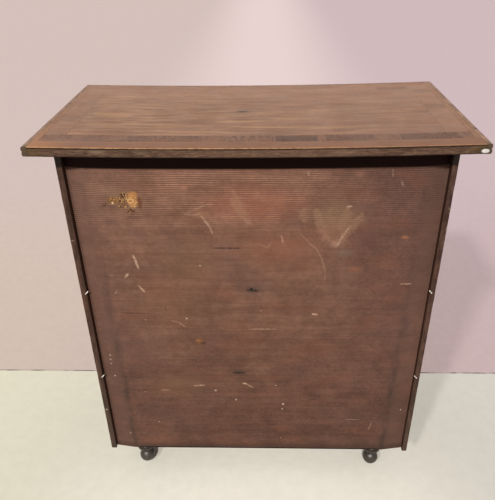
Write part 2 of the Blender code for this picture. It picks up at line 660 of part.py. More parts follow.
def make_drawer():
    half = INNER - DRAWER_SIDE_CLEARANCE
    side_inner = half - DRAWER_SIDE_THICKNESS
    front_rear = FRONT + DRAWER_FRONT_THICKNESS
    end = BACK_FRONT - DRAWER_END_SPACE
    low = DUST_TOP + GAP
    high = TOP_RAIL_UNDERSIDE - DRAWER_TOP_CLEARANCE
    bottom_low = low + DRAWER_BOTTOM_RISE
    bottom_high = bottom_low + DRAWER_BOTTOM_THICKNESS
    groove_z = (bottom_low - GAP, bottom_high + GAP)
    back_y = (end - DRAWER_BACK_INSET - DRAWER_BACK_THICKNESS, end - DRAWER_BACK_INSET)
    groove_reach = side_inner + DRAWER_GROOVE_DEPTH
    pieces = []

    front = board("drawer_front", (-half, half), (FRONT, front_rear), (low, high), "front_wood")
    groove_y = (front_rear - DRAWER_GROOVE_DEPTH, front_rear + OVERRUN)
    cut(front, block("drawer_front_groove", (-side_inner, side_inner), groove_y, groove_z))
    pieces.append(front)

    for name, side in SIDES.items():
        start = front_rear + GAP
        outline = [(start, low)]
        for root_low, tip_low, tip_high, root_high in tail_outline(low, high, front_rear, 0):
            outline += [(start, root_low[1]), tip_low, tip_high, (start, root_high[1])]
        outline += [(start, high), (end, high), (end, low)]
        outer = span(side, side_inner, half)
        wall = prism("drawer_side_" + name, "X", outline, outer[0], outer[1], "inner_wood")
        slot = span(side, side_inner - OVERRUN, groove_reach)
        housing_y = (back_y[0] - GAP, back_y[1] + GAP)
        groove = block("drawer_groove_" + name, slot, (start - GAP, end + OVERRUN), groove_z)
        housing = block("drawer_housing_" + name, slot, housing_y, (bottom_high, high + OVERRUN))
        cut(wall, groove, housing)
        pieces.append(wall)
        socket_x = span(side, side_inner - GAP, half + OVERRUN)
        for i, tail in enumerate(tail_outline(low, high, front_rear, GAP)):
            mouth = front_rear + OVERRUN
            socket = [(mouth, tail[0][1]), *tail, (mouth, tail[3][1])]
            cut(front, prism("tail_socket_%s_%d" % (name, i), "X", socket, socket_x[0], socket_x[1]))

    back_reach = groove_reach - GAP
    back_z = (bottom_high + GAP, high - DRAWER_BACK_DROP)
    pieces.append(board("drawer_back", (-back_reach, back_reach), back_y, back_z, "inner_wood"))

    tongue_front = front_rear - DRAWER_GROOVE_DEPTH + GAP
    narrow = side_inner - GAP
    shoulder = front_rear + GAP + GAP
    right = [(narrow, tongue_front), (narrow, shoulder), (back_reach, shoulder), (back_reach, end)]
    outline = right + [(-x, y) for x, y in reversed(right)]
    pieces.append(prism("drawer_bottom", "Z", outline, bottom_low, bottom_high, "inner_wood"))

    middle = (low + high) / 2
    hole_radius = KNOB_SPIGOT_RADIUS + GAP
    hole_length = OVERRUN + KNOB_SPIGOT_LENGTH + GAP
    spigot = KNOB_SPIGOT_LENGTH + GAP
    profile = [(KNOB_SPIGOT_RADIUS, 0), (KNOB_SPIGOT_RADIUS, spigot)]
    for radius_share, height_share in KNOB_SHARES:
        profile.append((KNOB_RADIUS * radius_share, spigot + KNOB_PROJECTION * height_share))
    for name, side in SIDES.items():
        x = side * KNOB_OFFSET
        start = (x, FRONT - OVERRUN, middle)
        cut(front, rod("knob_hole_" + name, hole_radius, start, (0, 1, 0), hole_length, KNOB_SIDES))
        foot = (x, FRONT + KNOB_SPIGOT_LENGTH, middle)
        pieces.append(turned("drawer_knob_" + name, profile, foot, (0, -1, 0), KNOB_SIDES, "brass"))
    joint_centre("drawer_slide_centre", (0, FRONT, middle), pieces)


def make_door(name, side):
    """Two stiles, two rails with tenons and a raised panel in grooves. Returns the pieces by short name."""
    near, far = DOOR_NEAR, DOOR_FAR
    faces = (FRONT, DOOR_REAR)
    middle_y = (FRONT + DOOR_REAR) / 2
    tongue = (middle_y - PANEL_TONGUE / 2, middle_y + PANEL_TONGUE / 2)
    slot_y = (tongue[0] - GAP, tongue[1] + GAP)
    prefix = name + "_door_"
    inner_near = near + STILE_WIDTH
    inner_far = far - STILE_WIDTH
    opening_low = DOOR_BOTTOM + DOOR_BOTTOM_RAIL_WIDTH
    opening_high = DOOR_TOP - DOOR_TOP_RAIL_WIDTH
    tenons = {
        "bottom_rail": (DOOR_BOTTOM + DOOR_TENON_SETBACK, opening_low - PANEL_GROOVE_DEPTH - GAP),
        "top_rail": (opening_high + PANEL_GROOVE_DEPTH + GAP, DOOR_TOP - DOOR_TENON_SETBACK),
    }
    pieces = {}

    stiles = {
        "meeting_stile": (near, inner_near, inner_near, -1),
        "hinge_stile": (inner_far, far, inner_far, 1),
    }
    for stile_name, (low_x, high_x, edge, away) in stiles.items():
        body_x = span(side, low_x, high_x)
        stile = board(prefix + stile_name, body_x, faces, (DOOR_BOTTOM, DOOR_TOP), "front_wood")
        mouth = edge - away * OVERRUN
        groove_x = span(side, mouth, edge + away * PANEL_GROOVE_DEPTH)
        groove_z = (tenons["bottom_rail"][0] - GAP, tenons["top_rail"][1] + GAP)
        cut(stile, block(prefix + stile_name + "_groove", groove_x, slot_y, groove_z))
        mortise_x = span(side, mouth, edge + away * (DOOR_TENON_LENGTH + GAP))
        for rail_name, (low, high) in tenons.items():
            cut(stile, block(prefix + stile_name + rail_name, mortise_x, slot_y, (low - GAP, high + GAP)))
        pieces[stile_name] = stile

    rails = {
        "bottom_rail": ((DOOR_BOTTOM, opening_low), opening_low, 1),
        "top_rail": ((opening_high, DOOR_TOP), opening_high, -1),
    }
    for rail_name, (levels, edge, up) in rails.items():
        body_x = span(side, inner_near + GAP, inner_far - GAP)
        rail = board(prefix + rail_name, body_x, faces, levels, "front_wood")
        tenon_x = span(side, inner_near - DOOR_TENON_LENGTH, inner_far + DOOR_TENON_LENGTH)
        fuse(rail, block(prefix + rail_name + "_tenon", tenon_x, tongue, tenons[rail_name]))
        slot_z = tuple(sorted((edge - up * PANEL_GROOVE_DEPTH, edge + up * OVERRUN)))
        slot_x = span(side, inner_near - OVERRUN, inner_far + OVERRUN)
        cut(rail, block(prefix + rail_name + "_groove", slot_x, slot_y, slot_z))
        pieces[rail_name] = rail

    panel_reach = PANEL_GROOVE_DEPTH - GAP
    panel_x = (inner_near - panel_reach, inner_far + panel_reach)
    panel_z = (opening_low - panel_reach, opening_high + panel_reach)
    field_y = FRONT + PANEL_FIELD_SET_BACK

    def ring(inset, y):
        low_x, high_x = span(side, panel_x[0] + inset, panel_x[1] - inset)
        low_z, high_z = panel_z[0] + inset, panel_z[1] - inset
        return [(low_x, y, low_z), (high_x, y, low_z), (high_x, y, high_z), (low_x, y, high_z)]

    shoulder = panel_reach + GAP
    bevel_end = shoulder + PANEL_BEVEL_WIDTH
    layers = [
        ring(0, tongue[1]),
        ring(0, tongue[0]),
        ring(shoulder, tongue[0]),
        ring(bevel_end, field_y + PANEL_STEP),
        ring(bevel_end, field_y),
    ]
    pieces["panel"] = layered(prefix + "panel", layers, "figured_veneer")
    return pieces


def hinge_levels(middle):
    """Ends of a hinge and of its middle knuckle."""
    low = middle - HINGE_HEIGHT / 2
    high = middle + HINGE_HEIGHT / 2
    third = HINGE_HEIGHT / 3
    return low, low + third, high - third, high


def make_hinge(side_name, side, place, middle, stile):
    """A butt hinge: the leaf let into the side panel carries the pin, and the door's leaf turns on it."""
    low, first, second, high = hinge_levels(middle)
    play = KNUCKLE_PLAY / 2
    axis = (side * HINGE_AXIS_X, HINGE_AXIS_Y)
    leaf_end = FRONT + HINGE_LEAF_WIDTH
    prefix = "hinge_%s_%s_" % (side_name, place)

    frame_outline = [
        (axis[1], low), (leaf_end, low), (leaf_end, high), (axis[1], high),
        (axis[1], second + play), (FRONT, second + play), (FRONT, first - play), (axis[1], first - play),
    ]
    frame_x = span(side, INNER, INNER + HINGE_LEAF_THICKNESS)
    frame_leaf = prism(prefix + "frame_leaf", "X", frame_outline, frame_x[0], frame_x[1], "brass")
    spindle = [
        (KNUCKLE_RADIUS, 0),
        (KNUCKLE_RADIUS, first - play - low),
        (HINGE_PIN_RADIUS, first - play - low),
        (HINGE_PIN_RADIUS, second + play - low),
        (KNUCKLE_RADIUS, second + play - low),
        (KNUCKLE_RADIUS, high - low),
    ]
    fuse(frame_leaf, turned(prefix + "spindle", spindle, (*axis, low), (0, 0, 1), KNUCKLE_SIDES))

    door_outline = [
        (FRONT, low), (leaf_end, low), (leaf_end, high), (FRONT, high),
        (FRONT, second - play), (axis[1], second - play), (axis[1], first + play), (FRONT, first + play),
    ]
    door_x = span(side, DOOR_FAR - HINGE_LEAF_THICKNESS, DOOR_FAR)
    door_leaf = prism(prefix + "door_leaf", "X", door_outline, door_x[0], door_x[1], "brass")
    length = second - first - KNUCKLE_PLAY
    knuckle_foot = (*axis, first + play)
    fuse(door_leaf, rod(prefix + "knuckle", KNUCKLE_RADIUS, knuckle_foot, (0, 0, 1), length, KNUCKLE_SIDES))
    bore_foot = (*axis, first + play - OVERRUN)
    bore_length = length + 2 * OVERRUN
    bore = rod(prefix + "bore", HINGE_PIN_RADIUS + GAP, bore_foot, (0, 0, 1), bore_length, KNUCKLE_SIDES)
    cut(door_leaf, bore)

    recess_x = span(side, DOOR_FAR - HINGE_LEAF_THICKNESS - GAP, DOOR_FAR + OVERRUN)
    recess_z = (low - GAP, high + GAP)
    cut(stile, block(prefix + "recess", recess_x, (FRONT - OVERRUN, leaf_end + GAP), recess_z))
    return door_leaf


def keyhole_outline():
    """A round hole with a slot below it, in X and Z round the key's axis."""
    half = KEYHOLE_SLOT_WIDTH / 2
    start = math.asin(half / KEYHOLE_RADIUS)
    points = [(KEY_X - half, KEY_Z - KEYHOLE_SLOT_REACH)]
    for step in range(KEY_SIDES + 1):
        angle = -math.pi / 2 - start - (2 * math.pi - 2 * start) * step / KEY_SIDES
        points.append((KEY_X + KEYHOLE_RADIUS * math.cos(angle), KEY_Z + KEYHOLE_RADIUS * math.sin(angle)))
    points.append((KEY_X + half, KEY_Z - KEYHOLE_SLOT_REACH))
    return points


def make_lock(stile):
    """The lock let into the rear of the right door's meeting stile. Returns its fixed pieces and its bolt."""
    low = LOCK_MIDDLE - LOCK_HEIGHT / 2
    high = LOCK_MIDDLE + LOCK_HEIGHT / 2
    near = DOOR_NEAR
    far = near + LOCK_WIDTH
    case = block("lock_case", (near, far), (LOCK_FRONT, DOOR_REAR), (low, high), "brass")
    recess_y = (LOCK_FRONT - GAP, DOOR_REAR + OVERRUN)
    cut(stile, block("lock_recess", (near - OVERRUN, far + GAP), recess_y, (low - GAP, high + GAP)))
    cut(stile, prism("stile_keyhole", "Y", keyhole_outline(), FRONT - OVERRUN, LOCK_FRONT + OVERRUN))

    chamber_front = LOCK_FRONT + LOCK_PLATE
    chamber_length = LOCK_THICKNESS - LOCK_PLATE - LOCK_REAR_WALL
    chamber_foot = (KEY_X, chamber_front, KEY_Z)
    chamber = rod("key_chamber", KEYHOLE_SLOT_REACH, chamber_foot, (0, 1, 0), chamber_length, FOOT_SIDES)
    keyhole = prism("case_keyhole", "Y", keyhole_outline(), LOCK_FRONT - OVERRUN, chamber_front + GAP)
    cut(case, chamber, keyhole)

    bolt_low = LOCK_MIDDLE + LOCK_BOLT_RISE
    bolt_z = (bolt_low, bolt_low + LOCK_BOLT_HEIGHT)
    bolt_front = chamber_front + (chamber_length - LOCK_BOLT_THICKNESS) / 2
    bolt_y = (bolt_front, bolt_front + LOCK_BOLT_THICKNESS)
    bolt_x = (near + GAP, near + GAP + LOCK_BOLT_LENGTH)
    bolt = block("lock_bolt", bolt_x, bolt_y, bolt_z, "brass")
    channel_y = (bolt_y[0] - GAP, bolt_y[1] + GAP)
    channel_z = (bolt_z[0] - GAP, bolt_z[1] + GAP)
    cut(case, block("bolt_channel", (near - OVERRUN, bolt_x[1] + GAP), channel_y, channel_z))

    half_width = ESCUTCHEON_WIDTH / 2
    half_height = ESCUTCHEON_HEIGHT / 2
    middle = KEY_Z - (KEYHOLE_SLOT_REACH - KEYHOLE_RADIUS) / 2
    outline = []
    for step in range(ESCUTCHEON_STEPS):
        angle = 2 * math.pi * step / ESCUTCHEON_STEPS
        outline.append((KEY_X + half_width * math.cos(angle), middle + half_height * math.sin(angle)))
    rear = FRONT - GAP
    front = rear - ESCUTCHEON_THICKNESS
    plate = prism("escutcheon", "Y", outline, front, rear, "brass")
    cut(plate, prism("plate_keyhole", "Y", keyhole_outline(), front - OVERRUN, rear + GAP / 2))
    joint_centre("lock_bolt_centre", (bolt_x[0], bolt_front, bolt_low), [bolt])
    return [case, plate], bolt_y, bolt_z


def make_key():
    """A key standing in the lock with its bit down. Its bow is a ring on the end of the shank."""
    tip = DOOR_REAR - LOCK_REAR_WALL - GAP
    plate_front = FRONT - GAP - ESCUTCHEON_THICKNESS
    collar_start = tip - plate_front + GAP
    bow_centre_y = plate_front - KEY_STAND - KEY_BOW_RADIUS
    profile = [
        (KEY_SHANK_RADIUS, 0),
        (KEY_SHANK_RADIUS, collar_start),
        (KEY_COLLAR_RADIUS, collar_start),
        (KEY_COLLAR_RADIUS, collar_start + KEY_COLLAR_LENGTH),
        (KEY_SHANK_RADIUS, collar_start + KEY_COLLAR_LENGTH),
        (KEY_SHANK_RADIUS, tip - bow_centre_y - KEY_BOW_RADIUS),
    ]
    key = turned("key", profile, (KEY_X, tip, KEY_Z), (0, -1, 0), KEY_SIDES, "steel")
    bm = bmesh.new()
    rings = []
    for step in range(BOW_STEPS):
        around = 2 * math.pi * step / BOW_STEPS
        ring = []
        for i in range(BOW_WIRE_SIDES):
            angle = 2 * math.pi * (i + 0.5) / BOW_WIRE_SIDES
            radius = KEY_BOW_RADIUS + KEY_BOW_WIRE * math.cos(angle)
            place = (
                KEY_X + KEY_BOW_WIRE * math.sin(angle),
                bow_centre_y + radius * math.cos(around),
                KEY_Z + radius * math.sin(around),
            )
            ring.append(bm.verts.new(place))
        rings.append(ring)
    for step, ring in enumerate(rings):
        following = rings[(step + 1) % BOW_STEPS]
        for i in range(BOW_WIRE_SIDES):
            j = (i + 1) % BOW_WIRE_SIDES
            bm.faces.new((ring[i], ring[j], following[j], following[i]))
    bow = object_from("key_bow", bm)
    half = KEY_BIT_THICKNESS / 2
    chamber_front = LOCK_FRONT + LOCK_PLATE
    chamber_length = LOCK_THICKNESS - LOCK_PLATE - LOCK_REAR_WALL
    bit_front = chamber_front + (chamber_length - KEY_BIT_WIDTH) / 2
    bit_y = (bit_front, bit_front + KEY_BIT_WIDTH)
    bit = block("key_bit", (KEY_X - half, KEY_X + half), bit_y, (KEY_Z - KEY_BIT_RADIUS, KEY_Z))
    fuse(key, bow, bit)
    joint_centre("key_centre", (KEY_X, plate_front, KEY_Z), [key])


def make_sliding_bolt(place, up):
    """A bolt in two guides on a plate, at one end of the left door. Up is 1 at the top of the door."""
    edge = DOOR_TOP if up > 0 else DOOR_BOTTOM
    outer = edge - up * BOLT_PLATE_INSET
    inner = outer - up * BOLT_PLATE_LENGTH
    half = BOLT_PLATE_WIDTH / 2
    plate_y = (DOOR_REAR + GAP, DOOR_REAR + GAP + BOLT_PLATE_THICKNESS)
    levels = tuple(sorted((outer, inner)))
    prefix = place + "_bolt_"
    plate = block(prefix + "plate", (BOLT_X - half, BOLT_X + half), plate_y, levels, "brass")
    guide_half = BOLT_GUIDE_WIDTH / 2
    guide_y = (plate_y[0], plate_y[1] + BOLT_GUIDE_DEPTH)
    for end, start in (("outer", outer - up * BOLT_GUIDE_INSET), ("inner", inner + up * BOLT_GUIDE_INSET)):
        inward = up if end == "outer" else -up
        guide_z = tuple(sorted((start, start - inward * BOLT_GUIDE_LENGTH)))
        guide_x = (BOLT_X - guide_half, BOLT_X + guide_half)
        fuse(plate, block(prefix + end + "_guide", guide_x, guide_y, guide_z))
    bore_foot = (BOLT_X, BOLT_Y, levels[0] - OVERRUN)
    bore_length = BOLT_PLATE_LENGTH + 2 * OVERRUN
    cut(plate, rod(prefix + "bore", BOLT_RADIUS + GAP, bore_foot, (0, 0, 1), bore_length, BOLT_SIDES))

    tail = inner + up * BOLT_END_MARGIN
    foot = (BOLT_X, BOLT_Y, min(edge, tail))
    bolt = rod(place + "_bolt", BOLT_RADIUS, foot, (0, 0, 1), abs(edge - tail), BOLT_SIDES, "brass")
    thumb_z = outer - up * BOLT_PLATE_LENGTH * (1 - BOLT_THUMB_SHARE)
    thumb_foot = (BOLT_X, BOLT_Y, thumb_z)
    fuse(bolt, rod(prefix + "thumb", BOLT_THUMB_RADIUS, thumb_foot, (0, 1, 0), BOLT_THUMB_REACH, BOLT_SIDES))
    joint_centre(prefix + "centre", (BOLT_X, BOLT_Y, edge), [bolt])
    return plate


def make_doors():
    for name, side in SIDES.items():
        door = make_door(name, side)
        moving = list(door.values())
        for place, middle in HINGE_HEIGHTS.items():
            moving.append(make_hinge(name, side, place, middle, door["hinge_stile"]))
        if name == "right":
            fixed, bolt_y, bolt_z = make_lock(door["meeting_stile"])
            moving += fixed
            make_key()
        else:
            left_meeting_stile = door["meeting_stile"]
            moving += [make_sliding_bolt("upper", 1), make_sliding_bolt("lower", -1)]
        joint_centre(name + "_door_centre", (side * HINGE_AXIS_X, HINGE_AXIS_Y, LOCK_MIDDLE), moving)
    mortise_x = (-DOOR_NEAR - LOCK_BOLT_THROW, -DOOR_NEAR + OVERRUN)
    mortise_y = (bolt_y[0] - SOCKET_CLEARANCE, bolt_y[1] + SOCKET_CLEARANCE)
    mortise_z = (bolt_z[0] - SOCKET_CLEARANCE, bolt_z[1] + SOCKET_CLEARANCE)
    cut(left_meeting_stile, block("bolt_mortise", mortise_x, mortise_y, mortise_z))


def main():
    clear_scene()
    make_top()
    make_mouldings()
    make_side_panel("side_panel_left", SIDES["left"])
    make_side_panel("side_panel_right", SIDES["right"])
    make_rails()
    make_boards()
    make_back()
    make_feet()
    make_drawer()
    make_doors()


main()
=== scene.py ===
"""The looks of the side cabinet: finishes, wear, small hardware, floor, lights and camera."""

import itertools
import math

import bmesh
import bpy
import numpy as np
from mathutils import Matrix, Vector


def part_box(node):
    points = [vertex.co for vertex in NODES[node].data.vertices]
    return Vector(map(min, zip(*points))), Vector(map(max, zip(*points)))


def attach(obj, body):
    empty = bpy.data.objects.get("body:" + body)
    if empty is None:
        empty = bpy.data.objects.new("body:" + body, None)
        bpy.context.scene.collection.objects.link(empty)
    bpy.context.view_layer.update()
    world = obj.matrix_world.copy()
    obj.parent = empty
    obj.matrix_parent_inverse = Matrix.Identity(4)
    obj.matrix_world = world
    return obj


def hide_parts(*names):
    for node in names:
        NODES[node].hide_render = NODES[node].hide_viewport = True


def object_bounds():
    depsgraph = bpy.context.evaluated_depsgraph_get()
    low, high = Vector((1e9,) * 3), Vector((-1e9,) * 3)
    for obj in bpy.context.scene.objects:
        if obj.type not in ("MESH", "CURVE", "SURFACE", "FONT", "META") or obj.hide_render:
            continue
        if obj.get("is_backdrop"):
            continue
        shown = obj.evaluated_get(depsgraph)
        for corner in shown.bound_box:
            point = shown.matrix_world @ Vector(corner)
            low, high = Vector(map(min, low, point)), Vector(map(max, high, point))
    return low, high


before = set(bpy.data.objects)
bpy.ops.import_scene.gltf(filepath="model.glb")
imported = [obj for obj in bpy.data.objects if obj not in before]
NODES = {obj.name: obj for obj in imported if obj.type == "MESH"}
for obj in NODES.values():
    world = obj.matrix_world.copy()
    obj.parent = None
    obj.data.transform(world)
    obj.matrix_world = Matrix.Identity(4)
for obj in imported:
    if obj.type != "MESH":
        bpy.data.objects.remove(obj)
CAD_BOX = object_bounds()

MM = 0.001

# Where the main faces lie, from the frame
side_low, side_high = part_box("side_panel_right")
INNER, FRONT, SIDE_BOTTOM = side_low
OUTER, REAR, BODY_TOP = side_high
back_low, back_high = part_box("back_board_upper")
BACK_FRONT, BACK_REAR = back_low.y, back_high.y
TOP_LOW, TOP_HIGH = CAD_BOX
MOULDING_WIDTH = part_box("top_moulding_left")[1].x - TOP_LOW.x

# Sizes of what the frame doesn't give
GAP = 0.3 * MM
BEVEL_AT_TOP = 32 * MM
BEVEL_AT_BOTTOM = 42 * MM
BEVEL_DROP = 6.5 * MM
REBATES = {-1: 7.0 * MM, 1: 4.3 * MM}
SIDE_BULGE = 1.8 * MM
BACK_DROP = 2.5 * MM
ARRIS_ROUNDING = 3 * MM
RIDGE_PITCH = 4.4 * MM
MOULDING_CORE_SHARE = 0.76
TOP_SAG = 5.5 * MM
# Height above which the painted shadow of the top's overhang covers the back and the sides' rear edges
SHADE_LINE = 0.866

# Camera, from the lines and corners in the photograph
CAMERA_PLACE = (-0.0212, 1.1406, 1.2582)
CAMERA_PITCH = 0.5306
CAMERA_HEADING = math.pi + 0.0379
CAMERA_ROLL = 0.0196
FOCAL_PIXELS = 564.68
FRAME_WIDTH_PIXELS = 495
SENSOR_WIDTH = 36.0

# Suns: heading from +Y towards +X and height above the level, in degrees, strength and softness in degrees
SUNS = {"key_light": (8, 43, 2.25, 4), "side_light": (30, 40, 0.9, 4), "overhead_light": (0, 90, 0.35, 60)}
KEY_COLOUR = (1.0, 0.985, 0.96)
WORLD_COLOUR = (1.0, 0.96, 0.94, 1.0)
WORLD_STRENGTH = 0.24
BACKDROP_STRENGTH = 0.50
FLOOR_HALF = 30.0
FLOOR_LEVEL = -0.1 * MM
WALL_LINE = -0.229
# Middle of the floor's painted pool of light
FLOOR_LIGHT_POOL = (0.0, 0.42, 0.0)


def rgb(red, green, blue):
    """A colour as a screen shows it, 0 to 255, in the linear values that shaders use."""
    linear = [((value / 255 + 0.055) / 1.055) ** 2.4 for value in (red, green, blue)]
    return (*linear, 1.0)


def metres(*millimetres):
    return [value * MM for value in millimetres]


def middle_of(node):
    low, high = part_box(node)
    return (low + high) / 2


# Node trees


class Tree:
    """Short calls that add nodes to a tree. Numbers, vectors, colours and sockets go in alike."""

    def __init__(self, tree):
        self.tree = tree

    def node(self, kind, inputs, output=0, **settings):
        node = self.tree.nodes.new("ShaderNode" + kind)
        for name, value in settings.items():
            setattr(node, name, value)
        for name, value in inputs.items():
            self.plug(node.inputs[name], value)
        return node.outputs[output]

    def plug(self, socket, value):
        if isinstance(value, bpy.types.NodeSocket):
            self.tree.links.new(value, socket)
        else:
            socket.default_value = value

    def math(self, operation, *values, clamp=False):
        """Clamping has nodes of its own, as a long chain of clamped nodes makes Cycles render black."""
        result = self.node("Math", dict(enumerate(values)), operation=operation)
        return self.math("MAXIMUM", self.math("MINIMUM", result, 1.0), 0.0) if clamp else result

    def times(self, first, *others):
        for other in others:
            first = self.math("MULTIPLY", first, other)
        return first

    def absolute(self, value):
        return self.math("ABSOLUTE", value)

    def vector(self, operation, *values, output=0):
        return self.node("VectorMath", dict(enumerate(values)), output, operation=operation)

    def scaled(self, vector, factor):
        return self.node("VectorMath", {0: vector, "Scale": factor}, operation="SCALE")

    def remap(self, value, low, high, to_low=0.0, to_high=1.0):
        inputs = {"Value": value, "From Min": low, "From Max": high, "To Min": to_low, "To Max": to_high}
        return self.node("MapRange", inputs, interpolation_type="SMOOTHSTEP", clamp=False)

    def mix(self, factor, first, second, blend="MIX"):
        inputs = {0: factor, 6: first, 7: second}
        return self.node("Mix", inputs, 2, data_type="RGBA", blend_type=blend)

    def grey(self, shade):
        return self.node("CombineColor", {0: shade, 1: shade, 2: shade})


def mask_group(name, vectors, numbers, make_mask):
    """A node group with named inputs, and as its output the mask that is made from them."""
    group = bpy.data.node_groups.new(name, "ShaderNodeTree")
    for kind, labels in (("Vector", vectors), ("Float", numbers)):
        for label in labels.split():
            group.interface.new_socket(label, in_out="INPUT", socket_type="NodeSocket" + kind)
    group.interface.new_socket("Mask", in_out="OUTPUT", socket_type="NodeSocketFloat")
    mask = make_mask(Tree(group), group.nodes.new("NodeGroupInput").outputs)
    group.links.new(mask, group.nodes.new("NodeGroupOutput").inputs["Mask"])
    return group


def stroke_mask(tree, entry):
    """1 along a line between two points, and softly 0 beyond its width, which tapers at both ends.

    First and Last say which share of a longer stroke the line is.
    """
    along = tree.vector("SUBTRACT", entry["End"], entry["Start"])
    away = tree.vector("SUBTRACT", entry["Point"], entry["Start"])
    reach = tree.vector("DOT_PRODUCT", away, along, output="Value")
    whole = tree.vector("DOT_PRODUCT", along, along, output="Value")
    share = tree.math("DIVIDE", reach, whole, clamp=True)
    distance = tree.vector("DISTANCE", away, tree.scaled(along, share), output="Value")
    ends = {"Value": share, "To Min": entry["First"], "To Max": entry["Last"]}
    from_middle = tree.math("MULTIPLY_ADD", tree.node("MapRange", ends, clamp=False), 2.0, -1.0)
    taper = tree.math("SUBTRACT", 1.0, tree.times(from_middle, from_middle))
    taper = tree.math("SQRT", tree.math("MAXIMUM", taper, 0.02))
    width = tree.times(entry["Width"], taper)
    limit = tree.math("MULTIPLY_ADD", entry["Edge"], taper, width)
    return tree.remap(distance, width, limit, 1.0, 0.0)


def blot_mask(tree, entry):
    """1 at the middle of an ellipse and softly 0 at its rim."""
    away = tree.vector("DIVIDE", tree.vector("SUBTRACT", entry["Point"], entry["Middle"]), entry["Size"])
    return tree.remap(tree.vector("LENGTH", away, output="Value"), entry["Core"], 1.0, 1.0, 0.0)


def patch_mask(tree, entry):
    """1 inside a rectangle in X and Y with crisp edges."""
    away = tree.vector("ABSOLUTE", tree.vector("SUBTRACT", entry["Point"], entry["Middle"]))
    past = tree.node("SeparateXYZ", {0: tree.vector("SUBTRACT", away, entry["Size"])}).node.outputs
    furthest = tree.math("MAXIMUM", past["X"], past["Y"])
    return tree.remap(furthest, tree.times(entry["Edge"], -1.0), entry["Edge"], 1.0, 0.0)


GROUPS = {
    "stroke": mask_group("stroke", "Point Start End", "Width Edge First Last", stroke_mask),
    "blot": mask_group("blot", "Point Middle Size", "Core", blot_mask),
    "patch": mask_group("patch", "Point Middle Size", "Edge", patch_mask),
}


class Finish(Tree):
    """A procedural material, built up from its colour, roughness and height."""

    def __init__(self, name):
        self.material = bpy.data.materials.new(name)
        self.material.use_nodes = True
        super().__init__(self.material.node_tree)
        self.shader = self.tree.nodes["Principled BSDF"]
        self.point = self.node("TexCoord", {}, "Object")
        axes = self.node("SeparateXYZ", {0: self.point}).node.outputs
        self.x, self.y, self.z = axes["X"], axes["Y"], axes["Z"]

    def noise(self, cell, seed, detail=3.0, roughness=0.55, point=None, output="Fac"):
        """Noise whose cells have a size in metres, the same along each axis or one for each."""
        sizes = cell if isinstance(cell, tuple) else (cell,) * 3
        scale = tuple(1 / size for size in sizes)
        inputs = {0: point or self.point, 1: scale, 2: (seed * 7.3, seed * 3.1, seed * 5.7)}
        moved = self.node("VectorMath", inputs, operation="MULTIPLY_ADD")
        inputs = {"Vector": moved, "Scale": 1.0, "Detail": detail, "Roughness": roughness}
        return self.node("TexNoise", inputs, output)

    def patches(self, cell, seed, low, high, detail=3.0, roughness=0.55, to_low=0.0, to_high=1.0):
        """Noise as soft patches, from low to high values of it."""
        return self.remap(self.noise(cell, seed, detail, roughness), low, high, to_low, to_high)

    def drift(self, cell, seed, amount, detail=3.0, roughness=0.55):
        """A shift that changes from place to place."""
        noise = self.noise(cell, seed, detail, roughness, output="Color")
        return self.scaled(self.vector("SUBTRACT", noise, (0.5, 0.5, 0.5)), amount)

    def moved(self, point, shift):
        """A point moved by a shift's X and Z."""
        return self.vector("ADD", point, self.vector("MULTIPLY", shift, (1.0, 0.0, 1.0)))

    def mask(self, kind, **inputs):
        node = self.tree.nodes.new("ShaderNodeGroup")
        node.node_tree = GROUPS[kind]
        for name, value in inputs.items():
            self.plug(node.inputs[name.capitalize()], value)
        return node.outputs["Mask"]

    def stroked(self, rows, point, edge=0.0):
        """The strongest of many strokes.

        Each row has places in X and Z and a half width, in millimetres, then a strength, and some rows
        have their own edge after it.
        """
        def masks():
            for places, width, strength, *own_edge in rows:
                soft = own_edge[0] * MM if own_edge else edge
                steps = len(places) - 1
                for i in range(steps):
                    start, end = [metres(x, 0.0, z) for x, z in places[i:i + 2]]
                    yield self.mask("stroke", point=point, start=start, end=end, width=width * MM, edge=soft,
                                    first=i / steps, last=(i + 1) / steps), strength
        return self.strongest(masks())

    def blot(self, point, place, size, core=0.1):
        """A soft blot at a place in X and Z."""
        (x, z), (wide, high) = place, size
        return self.mask("blot", point=point, middle=(x, 0.0, z), size=(wide, 1.0, high), core=core)

    def spotted(self, rows, point, core=0.1):
        """The strongest of many blots: X, Z and half sizes in millimetres, and strength."""
        return self.strongest((self.blot(point, metres(x, z), metres(wide, high), core), strength)
                              for x, z, wide, high, strength in rows)

    def strongest(self, masks):
        """The greatest of several masks, each with its strength.

        Each mask is made only when it is added: a material with too many values in waiting renders black.
        """
        total = None
        for mask, strength in masks:
            weighted = self.times(mask, strength)
            total = weighted if total is None else self.math("MAXIMUM", total, weighted)
        return total

    def done(self, colour, roughness, height=None, depth=0.0, specular=0.5, metallic=0.0):
        self.plug(self.shader.inputs["Base Color"], colour)
        self.plug(self.shader.inputs["Roughness"], roughness)
        self.shader.inputs["Specular IOR Level"].default_value = specular
        self.shader.inputs["Metallic"].default_value = metallic
        if height is not None:
            normal = self.node("Bump", {"Strength": 1.0, "Distance": depth, "Height": height})
            self.plug(self.shader.inputs["Normal"], normal)
        return self.material


